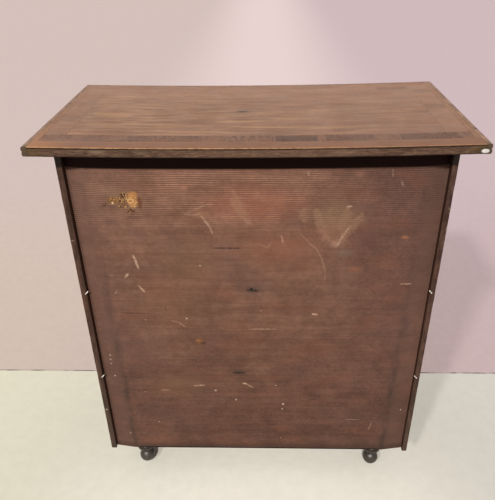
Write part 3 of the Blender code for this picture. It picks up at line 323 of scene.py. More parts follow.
class Wood(Finish):
    """Wood with its grain along one axis: streaks, fibres and pores, as a colour and a height."""

    def __init__(self, name, axis, palette, streak, length, figure, seed, pore=0.5, grain=0.095):
        super().__init__(name)

        def drawn_out(along, across):
            return tuple(along if label == axis else across for label in "XYZ")

        bend = self.drift(drawn_out(0.16, 0.05), seed + 5, figure * 4, 2.0)
        self.bent = self.vector("ADD", self.point, bend)
        broad = self.noise(drawn_out(length, streak), seed, 4.0, 0.6, self.bent)
        fine = self.noise(drawn_out(length * 0.6, streak * 0.22), seed + 1, 3.0, 0.6, self.bent)
        blend = self.math("MULTIPLY_ADD", fine, 0.45, self.times(broad, 0.55))
        tone = self.tree.nodes.new("ShaderNodeValToRGB")
        tone.color_ramp.elements.new(0.5)
        for element, place, colour in zip(tone.color_ramp.elements, (0.0, 0.5, 1.0), palette):
            element.position, element.color = place, colour
        self.plug(tone.inputs["Fac"], self.remap(blend, 0.30, 0.70))
        self.colour = tone.outputs["Color"]
        fibre = self.noise(drawn_out(30 * MM, 0.7 * MM), seed + 2, 2.0, point=self.bent)
        self.tinted(self.grey(self.remap(fibre, 0.30, 0.70, 1 - grain, 1 + grain)), 1.0, blend="MULTIPLY")
        pores = self.noise(drawn_out(9 * MM, 0.45 * MM), seed + 3, 1.0, point=self.bent)
        pores = self.remap(pores, 0.60, 0.72)
        self.tinted(palette[0], pores, pore, blend="MULTIPLY")
        self.height = self.math("SUBTRACT", fibre, self.times(pores, 0.8))

    def tinted(self, colour, *masks, blend="MIX"):
        """Blends a colour in, as far as the product of the masks says."""
        self.colour = self.mix(self.times(*masks), self.colour, colour, blend)

    def blotched(self, low, high, size, seed):
        """Changes the colour's brightness softly from place to place."""
        shade = self.patches(size, seed, 0.32, 0.68, to_low=low, to_high=high)
        self.tinted(self.grey(shade), 1.0, blend="MULTIPLY")

    def grimed(self, strength, size, seed=11.0):
        """Dirt in patches."""
        self.tinted(rgb(40, 28, 22), self.patches(size, seed, 0.52, 0.70, 5.0, 0.65), strength)

    def polished(self, roughness, spread, depth=0.12 * MM, specular=0.5):
        rough = self.patches(40 * MM, 21.0, 0.3, 0.7, 4.0, 0.6, roughness - spread, roughness + spread)
        return self.done(self.colour, rough, self.height, depth, specular)


# Finishes of the top

FIELD = (rgb(142, 107, 88), rgb(168, 130, 107), rgb(194, 154, 122))
BAND = (rgb(146, 111, 93), rgb(164, 126, 105), rgb(178, 139, 114))
BORDER = (rgb(142, 105, 84), rgb(162, 122, 97), rgb(180, 139, 108))

# The tables of marks, here and for the back, are in millimetres
# Pale streaks of the field: places in X and Y, half width, strength and edge
GLINTS = [
    (((75, 60), (-20, 61)), 1.5, 0.50, 5), (((-30, 47), (-110, 50)), 3, 0.36, 8),
    (((330, 12), (250, 34)), 4, 0.34, 20), (((260, 75), (100, 92)), 2, 0.36, 9),
    (((20, 100), (-200, 105)), 2, 0.30, 7),
]
# Dark places of the field: X, Y, half sizes and strength
FIELD_SPOTS = [
    (153, 10, 12, 6, 0.35), (290, 110, 60, 10, 0.25), (-330, 20, 30, 12, 0.30), (-168, 118, 50, 18, 0.30),
    (-118, 134, 30, 10, 0.30),
]
# Darker blocks of the crossband: X, Y, half sizes and strength
BLOCKS = [
    (-76, 164.5, 37.5, 16, 0.52), (-313, 166, 51.5, 16.5, 0.36), (-171.5, 166, 43, 17, 0.30),
    (-23, 164.5, 12, 16, 0.16), (290, 164, 24, 16, 0.16), (207.5, 164, 23.5, 16, 0.20),
    (130, 164, 30, 16, 0.08), (-306.5, -161.5, 33.5, 12, 0.26), (-367.5, -130, 16.5, 16, 0.22),
    (-366, -14, 19, 17, 0.15), (-366, 58, 19, 24, 0.06), (368, 48, 19, 20, 0.14), (366, -64, 19, 30, 0.06),
    (120, -161.5, 40, 12, 0.06),
]
# Pale places of the top's rear edge: X, Z, half sizes and strength
EDGE_SPOTS = [
    (274, 915, 22, 5, 0.60), (196, 913, 16, 4.5, 0.30), (-156, 913, 30, 4, 0.30),
]


def french_polished(wood):
    """Old polish on the top, which deepens and warms the colour under its sheen."""
    wood.tinted((0.88, 0.81, 0.74, 1.0), 1.0, blend="MULTIPLY")
    return wood.polished(0.42, 0.08, specular=0.30)


def field_veneer():
    wood = Wood("figured veneer of the top", "X", FIELD, 13 * MM, 0.16, 7 * MM, 3.0, grain=0.06)
    wood.blotched(0.89, 1.09, 0.07, 14.0)
    curls = wood.noise((0.11, 9 * MM, 0.1), 17.0, 4.0, 0.6, wood.bent)
    wood.tinted(rgb(134, 98, 80), wood.remap(curls, 0.48, 0.64), 0.42)
    wood.tinted(rgb(152, 116, 102), wood.patches((0.16, 0.06, 0.1), 16.0, 0.48, 0.66), 0.35)
    # Painted reflection: paler towards the front, where the polish catches light at a grazing angle
    wood.tinted(rgb(180, 141, 121), wood.remap(wood.y, 0.03, -0.17), 0.45)
    wood.tinted(rgb(156, 118, 102), wood.remap(wood.x, 0.10, -0.33), 0.30)
    # Marks are placed in X and Z, so the top's Y goes in as their Z
    axes = wood.node("SeparateXYZ", {0: wood.bent}).node.outputs
    plan = wood.node("CombineXYZ", {"X": axes["X"], "Z": axes["Y"]})
    wood.tinted(rgb(204, 162, 120), wood.stroked(GLINTS, plan))
    wood.tinted(rgb(120, 96, 82), wood.blot(plan, (0.022, 0.002), (0.040, 0.020)), 0.30)
    wood.tinted(rgb(78, 74, 68), wood.blot(plan, (0.027, 0.001), (0.017, 0.010), 0.25), 0.85)
    wood.tinted(rgb(104, 74, 64), wood.spotted(FIELD_SPOTS, plan))
    return french_polished(wood)


def crossband_veneer():
    wood = Wood("crossband of the top", "X", BAND, 5 * MM, 0.05, 4 * MM, 8.0)
    wood.tinted(rgb(168, 129, 108), 0.45)
    # Painted reflection: paler towards the front, where the polish catches light at a grazing angle
    wood.tinted(rgb(182, 143, 123), wood.remap(wood.y, -0.02, -0.19), 0.45)
    rear = wood.remap(wood.y, 0.142, 0.150)
    wood.tinted(rgb(137, 101, 82), rear, 0.68)
    mottle = wood.patches((2.6 * MM, 14 * MM, 0.1), 19.0, 0.44, 0.62, 3.0, 0.6)
    broad = wood.patches(0.05, 20.0, 0.35, 0.60, to_low=0.20, to_high=0.62)
    wood.tinted(rgb(90, 64, 54), rear, mottle, broad)
    blocks = ((wood.mask("patch", point=wood.point, middle=metres(x, y, 0.0), edge=1.2 * MM,
                         size=(wide * MM, deep * MM, 1.0)), strength)
              for x, y, wide, deep, strength in BLOCKS)
    wood.tinted(rgb(72, 52, 48), wood.strongest(blocks))
    wood.blotched(0.93, 1.06, 0.05, 18.0)
    return french_polished(wood)


def border_veneer():
    wood = Wood("border of the top", "X", BORDER, 7 * MM, 0.12, 3 * MM, 5.0)
    wood.tinted(rgb(141, 101, 80), wood.remap(wood.y, 0.176, 0.190), 0.70)
    # Painted reflection: paler towards the front, where the polish catches light at a grazing angle
    wood.tinted(rgb(176, 137, 117), wood.remap(wood.y, 0.02, -0.19), 0.40)
    wood.tinted(rgb(186, 136, 98), wood.remap(wood.x, 0.28, 0.40), wood.remap(wood.y, 0.06, 0.19), 0.70)
    wood.blotched(0.94, 1.06, 0.06, 24.0)
    arris = wood.remap(wood.y, TOP_HIGH.y - 3.5 * MM, TOP_HIGH.y - 0.5 * MM)
    worn = wood.patches((9 * MM, 3 * MM, 3 * MM), 31.0, 0.40, 0.60, 4.0, 0.65, 0.15, 0.85)
    wood.tinted(rgb(216, 172, 122), arris, worn, wood.remap(wood.x, -0.30, 0.10, 0.35, 1.0))
    return french_polished(wood)


def chipped(wood, point):
    """A pale chip at the rear corner."""
    chip = wood.blot(point, (-0.3955, 0.9100), (0.0085, 0.0048), 0.55)
    wood.tinted(rgb(244, 238, 230), chip)
    rim = wood.blot(point, (-0.3930, 0.9103), (0.0150, 0.0080), 0.75)
    wood.tinted(rgb(66, 50, 34), wood.math("SUBTRACT", rim, chip, clamp=True), 0.55)


def sunken_level(wood):
    """The height that a point of the top had before it sagged."""
    share = wood.math("DIVIDE", wood.x, TOP_HIGH.x)
    sunk = wood.math("MULTIPLY_ADD", wood.times(share, share), -TOP_SAG, TOP_SAG)
    return wood.math("ADD", wood.z, sunk)


def moulding_wood():
    wood = Wood("edge moulding", "Y", BORDER, 4 * MM, 0.08, 2 * MM, 15.0)
    wood.blotched(0.70, 1.05, 0.04, 27.0)
    wood.grimed(0.75, 12 * MM)
    wood.tinted(rgb(96, 76, 48), wood.remap(wood.y, TOP_HIGH.y - 16 * MM, TOP_HIGH.y - 2 * MM), 0.80)
    wood.tinted(rgb(74, 56, 38), wood.remap(wood.y, TOP_HIGH.y - 1.5 * MM, TOP_HIGH.y - 0.5 * MM), 0.80)
    chipped(wood, wood.node("CombineXYZ", {"X": wood.x, "Z": sunken_level(wood)}))
    return wood.polished(0.46, 0.08)


def raw_edge():
    """The unfinished rear edge of the top's core: dusty and stained."""
    palette = (rgb(66, 46, 35), rgb(99, 72, 56), rgb(132, 102, 81))
    wood = Wood("raw edge of the top", "X", palette, 3 * MM, 0.02, 2 * MM, 12.0, 0.9)
    level = sunken_level(wood)
    flat = wood.node("CombineXYZ", {"X": wood.x, "Z": level})
    wood.tinted(rgb(48, 34, 26), wood.patches((0.018, 0.02, 4 * MM), 41.0, 0.52, 0.66, 5.0, 0.7), 0.55)
    wood.tinted(rgb(146, 118, 94), wood.patches((0.014, 0.02, 3 * MM), 44.0, 0.55, 0.68, 5.0, 0.7), 0.40)
    wood.tinted(rgb(158, 132, 108), wood.spotted(EDGE_SPOTS, flat, 0.2))
    middle = wood.absolute(wood.math("ADD", wood.x, 0.03))
    wood.tinted(rgb(146, 110, 88), wood.remap(middle, 0.24, 0.08), 0.24)
    wood.tinted(rgb(104, 82, 50), wood.remap(wood.absolute(wood.x), 0.355, 0.395), 0.60)
    seam = wood.remap(level, TOP_HIGH.z - 4.6 * MM, TOP_HIGH.z - 2.2 * MM)
    wood.tinted(rgb(26, 15, 10), seam, wood.patches((0.030, 0.02, 0.02), 47.0, 0.35, 0.60, to_low=0.65))
    wood.tinted(rgb(30, 18, 12), wood.remap(level, BODY_TOP + 3.4 * MM, BODY_TOP + 1.2 * MM), 0.75)
    chipped(wood, flat)
    return wood.done(wood.colour, 0.82, wood.height, 0.4 * MM, 0.25)


# Finishes of the carcass


def polished_wood(name, axis, palette, seed, roughness=0.40):
    wood = Wood(name, axis, palette, 12 * MM, 0.35, 4 * MM, seed)
    wood.blotched(0.85, 1.08, 0.20, seed + 30)
    return wood.polished(roughness, 0.08)


def plain_wood(axis, seed):
    palette = (rgb(112, 82, 56), rgb(146, 112, 80), rgb(172, 138, 102))
    wood = Wood("plain wood along " + axis, axis, palette, 14 * MM, 0.40, 5 * MM, seed)
    wood.blotched(0.80, 1.08, 0.18, seed + 30)
    wood.grimed(0.30, 60 * MM, seed + 40)
    return wood.polished(0.72, 0.08, 0.18 * MM, 0.3)


def side_wood():
    """Polished outside; dirty, worn and darker towards its inner side along the raw rear edge, with painted
    shade inside the rebate for the back and further in, and the painted shadow of the top's overhang at its
    upper end.
    """
    palette = (rgb(66, 38, 28), rgb(96, 56, 40), rgb(126, 76, 54))
    wood = Wood("side panel", "Z", palette, 12 * MM, 0.35, 4 * MM, 17.0)
    wood.blotched(0.85, 1.08, 0.25, 34.0)
    from_middle = wood.absolute(wood.x)
    rear = wood.remap(wood.y, REAR - 2.5 * MM, REAR - 0.5 * MM)
    patchy = wood.patches((8 * MM, 8 * MM, 35 * MM), 52.0, 0.38, 0.62, 5.0, 0.65)
    wood.tinted(wood.mix(patchy, rgb(52, 32, 25), rgb(90, 62, 49)), rear, 0.92)
    wood.tinted(rgb(58, 36, 27), rear, wood.remap(from_middle, OUTER - 4 * MM, INNER + 4 * MM), 0.55)
    rubbed = wood.patches((6 * MM, 6 * MM, 14 * MM), 55.0, 0.56, 0.66, 4.0, 0.65)
    high, left = wood.remap(wood.z, 0.64, 0.74), wood.remap(wood.x, 0.0, -0.1)
    wood.tinted(rgb(134, 112, 96), rubbed, rear, high, left, 0.60)
    wood.tinted(rgb(74, 62, 46), rear, wood.remap(wood.z, 0.45, 0.14), 0.40)
    # Painted shade on the faces inside the rebate for the back and further in, away from the rear face
    shade = wood.remap(from_middle, INNER + 8 * MM, INNER + 7.1 * MM)
    wood.tinted(rgb(34, 17, 11), shade, wood.remap(wood.y, REAR - 0.8 * MM, REAR - 2.0 * MM), 0.70)
    marks = wood.strongest([
        (wood.blot(wood.point, (OUTER - 5 * MM, 0.7146), (4 * MM, 1.6 * MM), 0.3), 0.55),
        (wood.blot(wood.point, (OUTER - 6 * MM, 0.2504), (4 * MM, 3.5 * MM), 0.3), 0.70),
    ])
    wood.tinted(rgb(196, 176, 158), marks, rear)
    # Painted shadow of the top's overhang, near black above SHADE_LINE
    wood.tinted(rgb(24, 10, 6), wood.remap(wood.z, SHADE_LINE, SHADE_LINE + 6 * MM), rear, 0.80)
    return wood.polished(0.50, 0.10, 0.2 * MM, 0.3)


# Strokes on the back: places in X and Z, half width and strength
PALE_STROKES = [
    (((105, 768), (96, 755), (88, 742), (83, 726)), 1.6, 0.48),
    (((137, 771), (110, 782), (94, 790), (74, 792)), 1, 0.24),
    (((137, 770), (117, 768), (104, 771)), 1.2, 0.26), (((246, 679), (238, 645)), 2.1, 0.72),
    (((270, 625), (261, 635)), 1.8, 0.72), (((244, 606), (232, 588)), 1.6, 0.68),
    (((297, 583), (290, 591)), 1.2, 0.35), (((-51, 724), (-55, 705)), 1.4, 0.38),
    (((23, 701), (-10, 703), (-25, 695), (-33, 712)), 1, 0.16),
    (((-85, 731), (-105, 708), (-123, 690), (-134, 666), (-142, 635), (-141, 612)), 0.7, 0.22),
    (((-185, 746), (-171, 722), (-159, 696)), 2, 0.34), (((-173.6, 784.2), (-184.5, 786.7)), 1.3, 0.60),
    (((-294, 610), (-319, 610)), 0.8, 0.52), (((-252, 862), (-254, 845)), 1, 0.24),
    (((-270, 839), (-275, 825)), 1, 0.30), (((-97, 859), (-101, 847)), 1.4, 0.30),
    (((18, 492), (-44, 492)), 0.6, 0.50), (((-118, 533), (-131, 531)), 1.4, 0.90),
    (((184, 515), (167, 509), (151, 495)), 1, 0.28), (((148, 325), (119, 328)), 1, 0.62),
    (((225, 311), (202, 311)), 0.9, 0.36), (((33, 335), (22, 332)), 1.2, 0.95),
    (((24, 332), (7, 320)), 0.8, 0.62), (((-268, 183), (-274, 214)), 0.8, 0.28),
    (((-211, 220), (-247, 220)), 1, 0.24),
]
SMEARS = [
    (((42, 820), (27, 778), (12, 751)), 4, 0.48), (((16, 762), (10, 747)), 3, 0.44),
    (((-91, 784), (-96, 752)), 4, 0.40), (((-118, 783), (-125, 744), (-145, 706)), 4, 0.42),
    (((-176, 783), (-173, 753), (-167, 731)), 6, 0.36),
    (((-208, 774), (-190, 748), (-171, 717), (-160, 698)), 4.5, 0.40), (((-2, 818), (-15, 796)), 3, 0.26),
]
DARK_STROKES = [
    (((84, 695), (27, 694)), 1, 0.78), (((290, 534), (224, 533)), 1, 0.42),
    (((193, 552), (191, 539)), 0.9, 0.45), (((56, 366), (23, 366)), 1.4, 0.85),
    (((19, 594), (-6, 592)), 2.2, 0.82), (((-237, 600), (-247, 584)), 0.8, 0.35),
]
# Soft blots: X, Z, half sizes, strength and colour
BLOTS = [
    (0, 790, 150, 55, 0.42, (168, 104, 80)), (-50, 690, 110, 70, 0.30, (156, 98, 72)),
    (143, 650, 80, 80, 0.34, (124, 92, 66)), (180, 550, 110, 70, 0.30, (134, 96, 72)),
    (-158, 765, 76, 44, 0.34, (158, 124, 94)), (-158, 728, 36, 42, 0.26, (158, 116, 92)),
    (-142, 752, 30, 38, 0.20, (162, 128, 98)), (-157, 704, 15, 14, 0.50, (182, 138, 116)),
    (-96, 648, 38, 12, 0.40, (108, 62, 42)), (280, 754, 24, 14, 0.36, (80, 64, 60)),
    (231, 725, 22, 22, 0.26, (96, 72, 70)), (-270, 590, 48, 20, 0.32, (84, 64, 62)),
    (314, 560, 14, 80, 0.34, (80, 64, 58)), (-320, 505, 14, 42, 0.34, (80, 62, 66)),
    (190, 327, 95, 50, 0.24, (142, 104, 74)), (-165, 309, 56, 19, 0.28, (150, 104, 84)),
    (267, 818, 34, 21, 0.30, (164, 132, 104)), (135, 815, 15, 22, 0.28, (160, 122, 98)),
    (105, 769, 18, 12, 0.34, (170, 124, 92)), (4, 640, 26, 16, 0.24, (86, 70, 64)),
    (-216, 716, 40, 38, 0.55, (104, 72, 66)), (-178, 684, 28, 14, 0.45, (132, 112, 94)),
    (-199, 645, 20, 9, 0.34, (164, 102, 68)), (-292, 719, 12, 6, 0.55, (184, 122, 82)),
    (-194, 851, 14, 10, 0.36, (174, 124, 102)), (133, 826, 12, 9, 0.48, (186, 128, 104)),
    (0, 600, 60, 40, 0.42, (94, 74, 66)), (6, 594, 26, 14, 0.45, (66, 58, 52)),
    (45, 640, 50, 40, 0.26, (104, 76, 68)), (70, 408, 50, 22, 0.28, (78, 60, 50)),
    (40, 367, 40, 14, 0.40, (64, 54, 46)), (297, 630, 8, 6, 0.35, (170, 132, 110)),
    (195, 640, 60, 30, 0.20, (108, 78, 70)), (125, 457, 14, 12, 0.60, (146, 96, 58)),
    (117, 452, 12, 7, 0.62, (66, 44, 34)), (128, 460, 7, 4, 0.50, (182, 128, 78)),
    (132, 453, 6, 4, 0.45, (78, 52, 38)),
]
# Pale flecks: X, Z, radius and strength
FLECKS = [
    (49, 282, 1.2, 1.00), (-61, 269, 1.5, 1.00), (-60, 253, 1.1, 0.90), (-44, 328, 1.2, 0.70),
    (149, 520, 1.5, 0.62), (238, 516, 1, 0.45), (262, 305, 1, 0.50), (239, 206, 1.2, 0.50),
    (314, 166, 1.2, 0.50), (-340, 249, 1.3, 0.60), (-57, 154, 1, 0.40), (330.8, 413.6, 1.4, 0.60),
    (331.4, 400.9, 1.6, 0.50), (331.6, 388.1, 1.3, 0.60), (327.6, 352.6, 1.6, 0.50), (96, 311, 1.9, 0.50),
    (-10, 541, 1, 0.35), (112, 654, 1.6, 0.28),
]
# The big knot's plain spots: X, Z, half sizes, strength and colour
KNOT_SPOTS = [
    (242, 799, 42, 27, 0.40, (136, 104, 80)), (287.6, 789.4, 7, 4, 0.60, (86, 62, 48)),
    (219.5, 794.5, 6, 18, 0.75, (112, 68, 46)), (231.8, 811, 13, 9, 0.85, (188, 128, 76)),
    (232.8, 799, 12.5, 18.5, 0.92, (200, 144, 88)),
]
# Where the big knot is broken into crumbs: X, Z, half sizes, and strength of ground, dark and pale crumbs
KNOT_CRUMBS = [
    (269.8, 799.9, 15, 10, 0.75, 0.50, 0.45), (250, 801.5, 12, 11, 0.60, 1.00, 0.70),
    (247.1, 812.3, 11, 6.5, 0.30, 0.85, 0.60), (252.1, 788.2, 12, 6.5, 0.50, 0.80, 0.80),
    (238.9, 777.5, 11, 9, 0.20, 0.90, 0.35), (229, 796, 9, 16, 0.00, 0.30, 0.80),
]
BIG_KNOT = (0.2358, 0.7960)
KNOT_EYE = (0.2369, 0.7987)
SMALL_KNOT = (0.124, 0.457)


def back_low_edge():
    """Height of the lower edge of the back, where the boards have shrunk out of line."""
    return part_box("back_board_lower")[0].z - BACK_DROP


def back_arris(z):
    """Distance from the middle to the arris between the back's field and its bevelled end."""
    share = (z - SIDE_BOTTOM) / (BODY_TOP - SIDE_BOTTOM)
    return INNER - BEVEL_AT_BOTTOM - share * (BEVEL_AT_TOP - BEVEL_AT_BOTTOM)


def back_shading(wood):
    """Darker towards the back's foot and lighter towards its top, partly painted shade where the light falls
    off downward and partly the boards' own tone; darker towards its ends, mauve towards -X, more so higher
    up.
    """
    # Partly painted shade: the light falls off towards the foot
    wood.tinted(wood.grey(wood.remap(wood.z, 0.14, 0.90, 0.64, 1.22)), 1.0, blend="MULTIPLY")
    high = wood.remap(wood.z, 0.50, 0.84, 0.38, 0.88)
    wood.tinted(rgb(90, 64, 58), wood.remap(wood.x, 0.02, -0.38), high)
    high = wood.remap(wood.z, 0.50, 0.84, 0.30, 0.48)
    wood.tinted(rgb(108, 82, 72), wood.remap(wood.x, 0.14, 0.37), high)


def back_ridges(wood):
    """Fine level ridges of the grain, strong on the upper board only. Returns their height."""
    wobble = wood.noise((0.25, 0.05, 0.12), 61.0, 2.0)
    turns = wood.math("MULTIPLY_ADD", wood.z, 1 / RIDGE_PITCH, wood.times(wobble, 3.0))
    wave = wood.math("SINE", wood.times(turns, 2 * math.pi))
    broken = wood.patches((0.06, 0.05, 0.014), 63.0, 0.36, 0.64, 4.0, 0.6, 0.15)
    strength = wood.times(broken, wood.remap(wood.z, 0.738, 0.756, 0.16, 1.0))
    wood.tinted(rgb(188, 142, 116), wood.remap(wave, 0.0, 1.0), strength, 0.52)
    wood.tinted(rgb(92, 60, 48), wood.remap(wave, -0.2, -1.0), strength, 0.30)
    return wood.times(wave, strength)


def arris_darkening(wood):
    """Darker patches along the arris between the field and the bevel, stronger lower down, and a darker tone
    on the bevel beside it.
    """
    slope = (BEVEL_AT_BOTTOM - BEVEL_AT_TOP) / (BODY_TOP - SIDE_BOTTOM)
    arris = wood.math("MULTIPLY_ADD", wood.z, slope, back_arris(0.0))
    from_arris = wood.math("SUBTRACT", wood.absolute(wood.x), arris)
    patchy = wood.patches((0.02, 0.02, 0.06), 77.0, 0.36, 0.64, 5.0, 0.65, 0.2)
    near = wood.remap(wood.absolute(from_arris), 2 * MM, 16 * MM, 1.0, 0.0)
    wood.tinted(rgb(68, 56, 52), near, wood.remap(wood.z, 0.75, 0.25, 0.12, 0.62), patchy)
    wood.tinted(rgb(112, 84, 72), wood.remap(from_arris, 0.0, 6 * MM), 0.35)


def big_knot(wood, flat, jitter):
    """A pale swirl beside a dark heart, with crumbs round them."""
    point = wood.moved(flat, jitter)
    for x, z, wide, high, strength, colour in KNOT_SPOTS:
        wood.tinted(rgb(*colour), wood.blot(point, metres(x, z), metres(wide, high), 0.5), strength)
    crumbs = wood.noise((2.4 * MM, 2.4 * MM, 2.2 * MM), 91.0, 2.0, 0.6)
    dark, pale = wood.remap(crumbs, 0.50, 0.42), wood.remap(crumbs, 0.54, 0.61)
    for x, z, wide, high, ground, dark_strength, pale_strength in KNOT_CRUMBS:
        mask = wood.blot(point, metres(x, z), metres(wide, high), 0.5)
        wood.tinted(rgb(154, 108, 64), mask, ground)
        wood.tinted(rgb(62, 34, 20), mask, dark, dark_strength)
        wood.tinted(rgb(226, 180, 122), mask, pale, pale_strength)
    ring = wood.blot(point, KNOT_EYE, (0.0066, 0.0070), 0.66)
    hole = wood.blot(point, KNOT_EYE, (0.0044, 0.0046), 0.45)
    wood.tinted(rgb(240, 188, 128), wood.math("SUBTRACT", ring, hole, clamp=True), 0.80)
    wood.tinted(rgb(164, 100, 52), wood.blot(point, KNOT_EYE, (0.0030, 0.0032), 0.3), 0.75)
    wood.tinted(rgb(248, 214, 168), wood.blot(flat, (0.2714, 0.7946), (0.0026, 0.0026), 0.4), 0.90)


def back_marks(wood):
    """The blots, smears, knot, strokes and flecks of the back, a little uneven and broken."""
    jitter = wood.drift(7 * MM, 81.0, 4 * MM)
    flat = wood.moved(wood.vector("MULTIPLY", wood.point, (1.0, 0.0, 1.0)), jitter)
    broken = wood.patches(4 * MM, 84.0, 0.35, 0.55, 2.0, to_low=0.40)
    loose = wood.moved(flat, wood.drift(12 * MM, 87.0, 36 * MM, 5.0, 0.65))
    for x, z, wide, high, strength, colour in BLOTS:
        point = loose if min(wide, high) > 25 else flat
        wood.tinted(rgb(*colour), wood.blot(point, metres(x, z), metres(wide, high)), strength)
    wood.tinted(rgb(176, 136, 108), wood.stroked(SMEARS, loose, 10 * MM), broken, 0.80)
    big_knot(wood, flat, jitter)
    wood.tinted(rgb(38, 33, 32), wood.stroked(DARK_STROKES, flat, 1.4 * MM), broken)
    wood.tinted(rgb(210, 170, 142), wood.stroked(PALE_STROKES, flat, 1.5 * MM), broken)
    flecks = ((x, z, 2 * radius, 2 * radius, strength) for x, z, radius, strength in FLECKS)
    wood.tinted(rgb(228, 208, 188), wood.spotted(flecks, flat, 0.3))


def back_wood():
    palette = (rgb(108, 75, 61), rgb(124, 88, 72), rgb(140, 102, 84))
    wood = Wood("back boards", "X", palette, 22 * MM, 0.30, 3 * MM, 23.0, 0.12, 0.04)
    wood.tinted(rgb(125, 88, 72), 0.35)
    ridges = back_ridges(wood)
    back_shading(wood)
    wood.blotched(0.88, 1.10, 0.10, 66.0)
    wood.blotched(0.90, 1.10, 0.035, 68.0)
    wood.blotched(0.93, 1.08, 0.010, 69.0)
    specks = wood.noise((4 * MM, 4 * MM, 1.6 * MM), 70.0, 3.0, 0.6)
    wood.tinted(rgb(158, 118, 94), wood.remap(specks, 0.52, 0.68), 0.22)
    wood.tinted(rgb(84, 58, 48), wood.remap(specks, 0.48, 0.32), 0.22)
    wood.tinted(rgb(140, 88, 68), wood.patches((0.10, 0.10, 0.05), 71.0, 0.50, 0.66, 4.0, 0.6), 0.22)
    wood.tinted(rgb(112, 84, 76), wood.patches((0.10, 0.10, 0.12), 74.0, 0.50, 0.66, 4.0, 0.6), 0.24)
    arris_darkening(wood)
    back_marks(wood)
    # Painted shadow of the top's overhang: near black above SHADE_LINE, sunk with the top's sag
    wood.tinted(rgb(30, 6, 3), wood.remap(sunken_level(wood), SHADE_LINE, SHADE_LINE + 4 * MM))
    wood.tinted(rgb(58, 46, 40), wood.remap(wood.z, 0.140, 0.122), 0.50)
    ragged = wood.math("MULTIPLY_ADD", wood.noise(0.030, 94.0), 4 * MM, back_low_edge() + 1.8 * MM)
    edge = wood.remap(wood.math("SUBTRACT", wood.z, ragged), 0.8 * MM, -0.8 * MM)
    wood.tinted(rgb(26, 16, 12), edge, wood.remap(wood.absolute(wood.x), 0.310, 0.285), 0.95)
    relief = wood.math("MULTIPLY_ADD", ridges, 0.9, wood.times(wood.height, 0.6))
    return wood.done(wood.colour, 0.70, relief, 0.22 * MM, 0.12)


# Finishes of the small parts


def turned_wood():
    palette = (rgb(38, 31, 26), rgb(58, 49, 42), rgb(82, 71, 62))
    wood = Wood("turned feet", "Z", palette, 6 * MM, 0.10, 2 * MM, 29.0)
    wood.grimed(0.5, 10 * MM)
    return wood.polished(0.40, 0.06, 0.06 * MM, 0.6)


def metal(name, bright, dull, roughness, seed, pits=0.4):
    """Worn metal: bright where it is rubbed, dull in patches."""
    finish = Finish(name)
    patches = finish.noise(6 * MM, seed, 5.0, 0.65)
    colour = finish.mix(finish.remap(patches, 0.40, 0.62), bright, dull)
    specks = finish.noise(0.8 * MM, seed + 3, 3.0, 0.6)
    colour = finish.mix(finish.times(finish.remap(specks, 0.58, 0.70), pits), colour, dull)
    rough = finish.remap(patches, 0.3, 0.7, roughness - 0.08, roughness + 0.14)
    return finish.done(colour, rough, specks, 0.05 * MM, metallic=1.0)


MAHOGANY = (rgb(78, 44, 32), rgb(118, 70, 48), rgb(154, 98, 66))
FIGURED = (rgb(92, 54, 36), rgb(140, 88, 58), rgb(182, 124, 82))
FINISH = {
    "field": field_veneer(),
    "crossband": crossband_veneer(),
    "border": border_veneer(),
    "moulding": moulding_wood(),
    "raw_edge": raw_edge(),
    "side": side_wood(),
    "back": back_wood(),
    "panel": polished_wood("door panels", "Z", FIGURED, 33.0, 0.34),
    "stile": polished_wood("stiles", "Z", MAHOGANY, 37.0),
    "rail": polished_wood("rails", "X", MAHOGANY, 39.0),
    "inner_x": plain_wood("X", 43.0),
    "inner_y": plain_wood("Y", 45.0),
    "turned": turned_wood(),
    "brass": metal("brass", rgb(206, 168, 96), rgb(122, 92, 52), 0.34, 2.0),
    "steel": metal("steel", rgb(172, 168, 162), rgb(92, 84, 78), 0.40, 4.0),
    "iron": metal("iron", rgb(66, 60, 58), rgb(40, 30, 26), 0.62, 6.0),
    "bright_steel": metal("bright steel", rgb(252, 248, 242), rgb(226, 216, 204), 0.50, 8.0, 0.1),
}


# Meshes

# Where the lines of a mesh lie across a rounded edge, as shares of its width
EDGE_SHARES = (0.0, 0.2, 0.45, 0.72)


def noise_at(points, cell, seed):
    """Smooth noise from -1 to 1 at each point, with cells of the given size along each axis."""
    places = np.asarray(points, float) / np.asarray(cell, float)
    base = np.floor(places).astype(np.int64)
    share = places - base
    share = share * share * (3 - 2 * share)
    total = np.zeros(len(places))
    for corner in itertools.product((0, 1), repeat=places.shape[1]):
        weight = np.ones(len(places))
        code = np.full(len(places), seed * 9176 + 13, np.int64)
        for axis, step in enumerate(corner):
            weight *= share[:, axis] if step else 1 - share[:, axis]
            code = (code * 31 + (base[:, axis] + step) * (7919 + 104729 * axis)) & 0x7FFFFFFF
            code = ((code ^ (code >> 13)) * 1274126177) & 0x7FFFFFFF
        code = code ^ (code >> 15)
        total += weight * ((code & 0xFFFF) / 32767.5 - 1)
    return total


def add_object(name, data):
    obj = bpy.data.objects.new(name, data)
    bpy.context.scene.collection.objects.link(obj)
    return obj


def closed_mesh(name, points, faces):
    mesh = bpy.data.meshes.new(name)
    mesh.from_pydata([tuple(point) for point in points], [], faces)
    bm = bmesh.new()
    bm.from_mesh(mesh)
    bmesh.ops.recalc_face_normals(bm, faces=bm.faces)
    bm.to_mesh(mesh)
    bm.free()
    return mesh


def new_piece(name, points, faces, finish, body, replaced=(), angle=40):
    mesh = closed_mesh(name, points, faces)
    mesh.materials.append(FINISH[finish])
    mesh.shade_smooth()
    mesh.set_sharp_from_angle(angle=math.radians(angle))
    obj = add_object(name, mesh)
    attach(obj, body)
    if replaced:
        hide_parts(*replaced)
    return obj


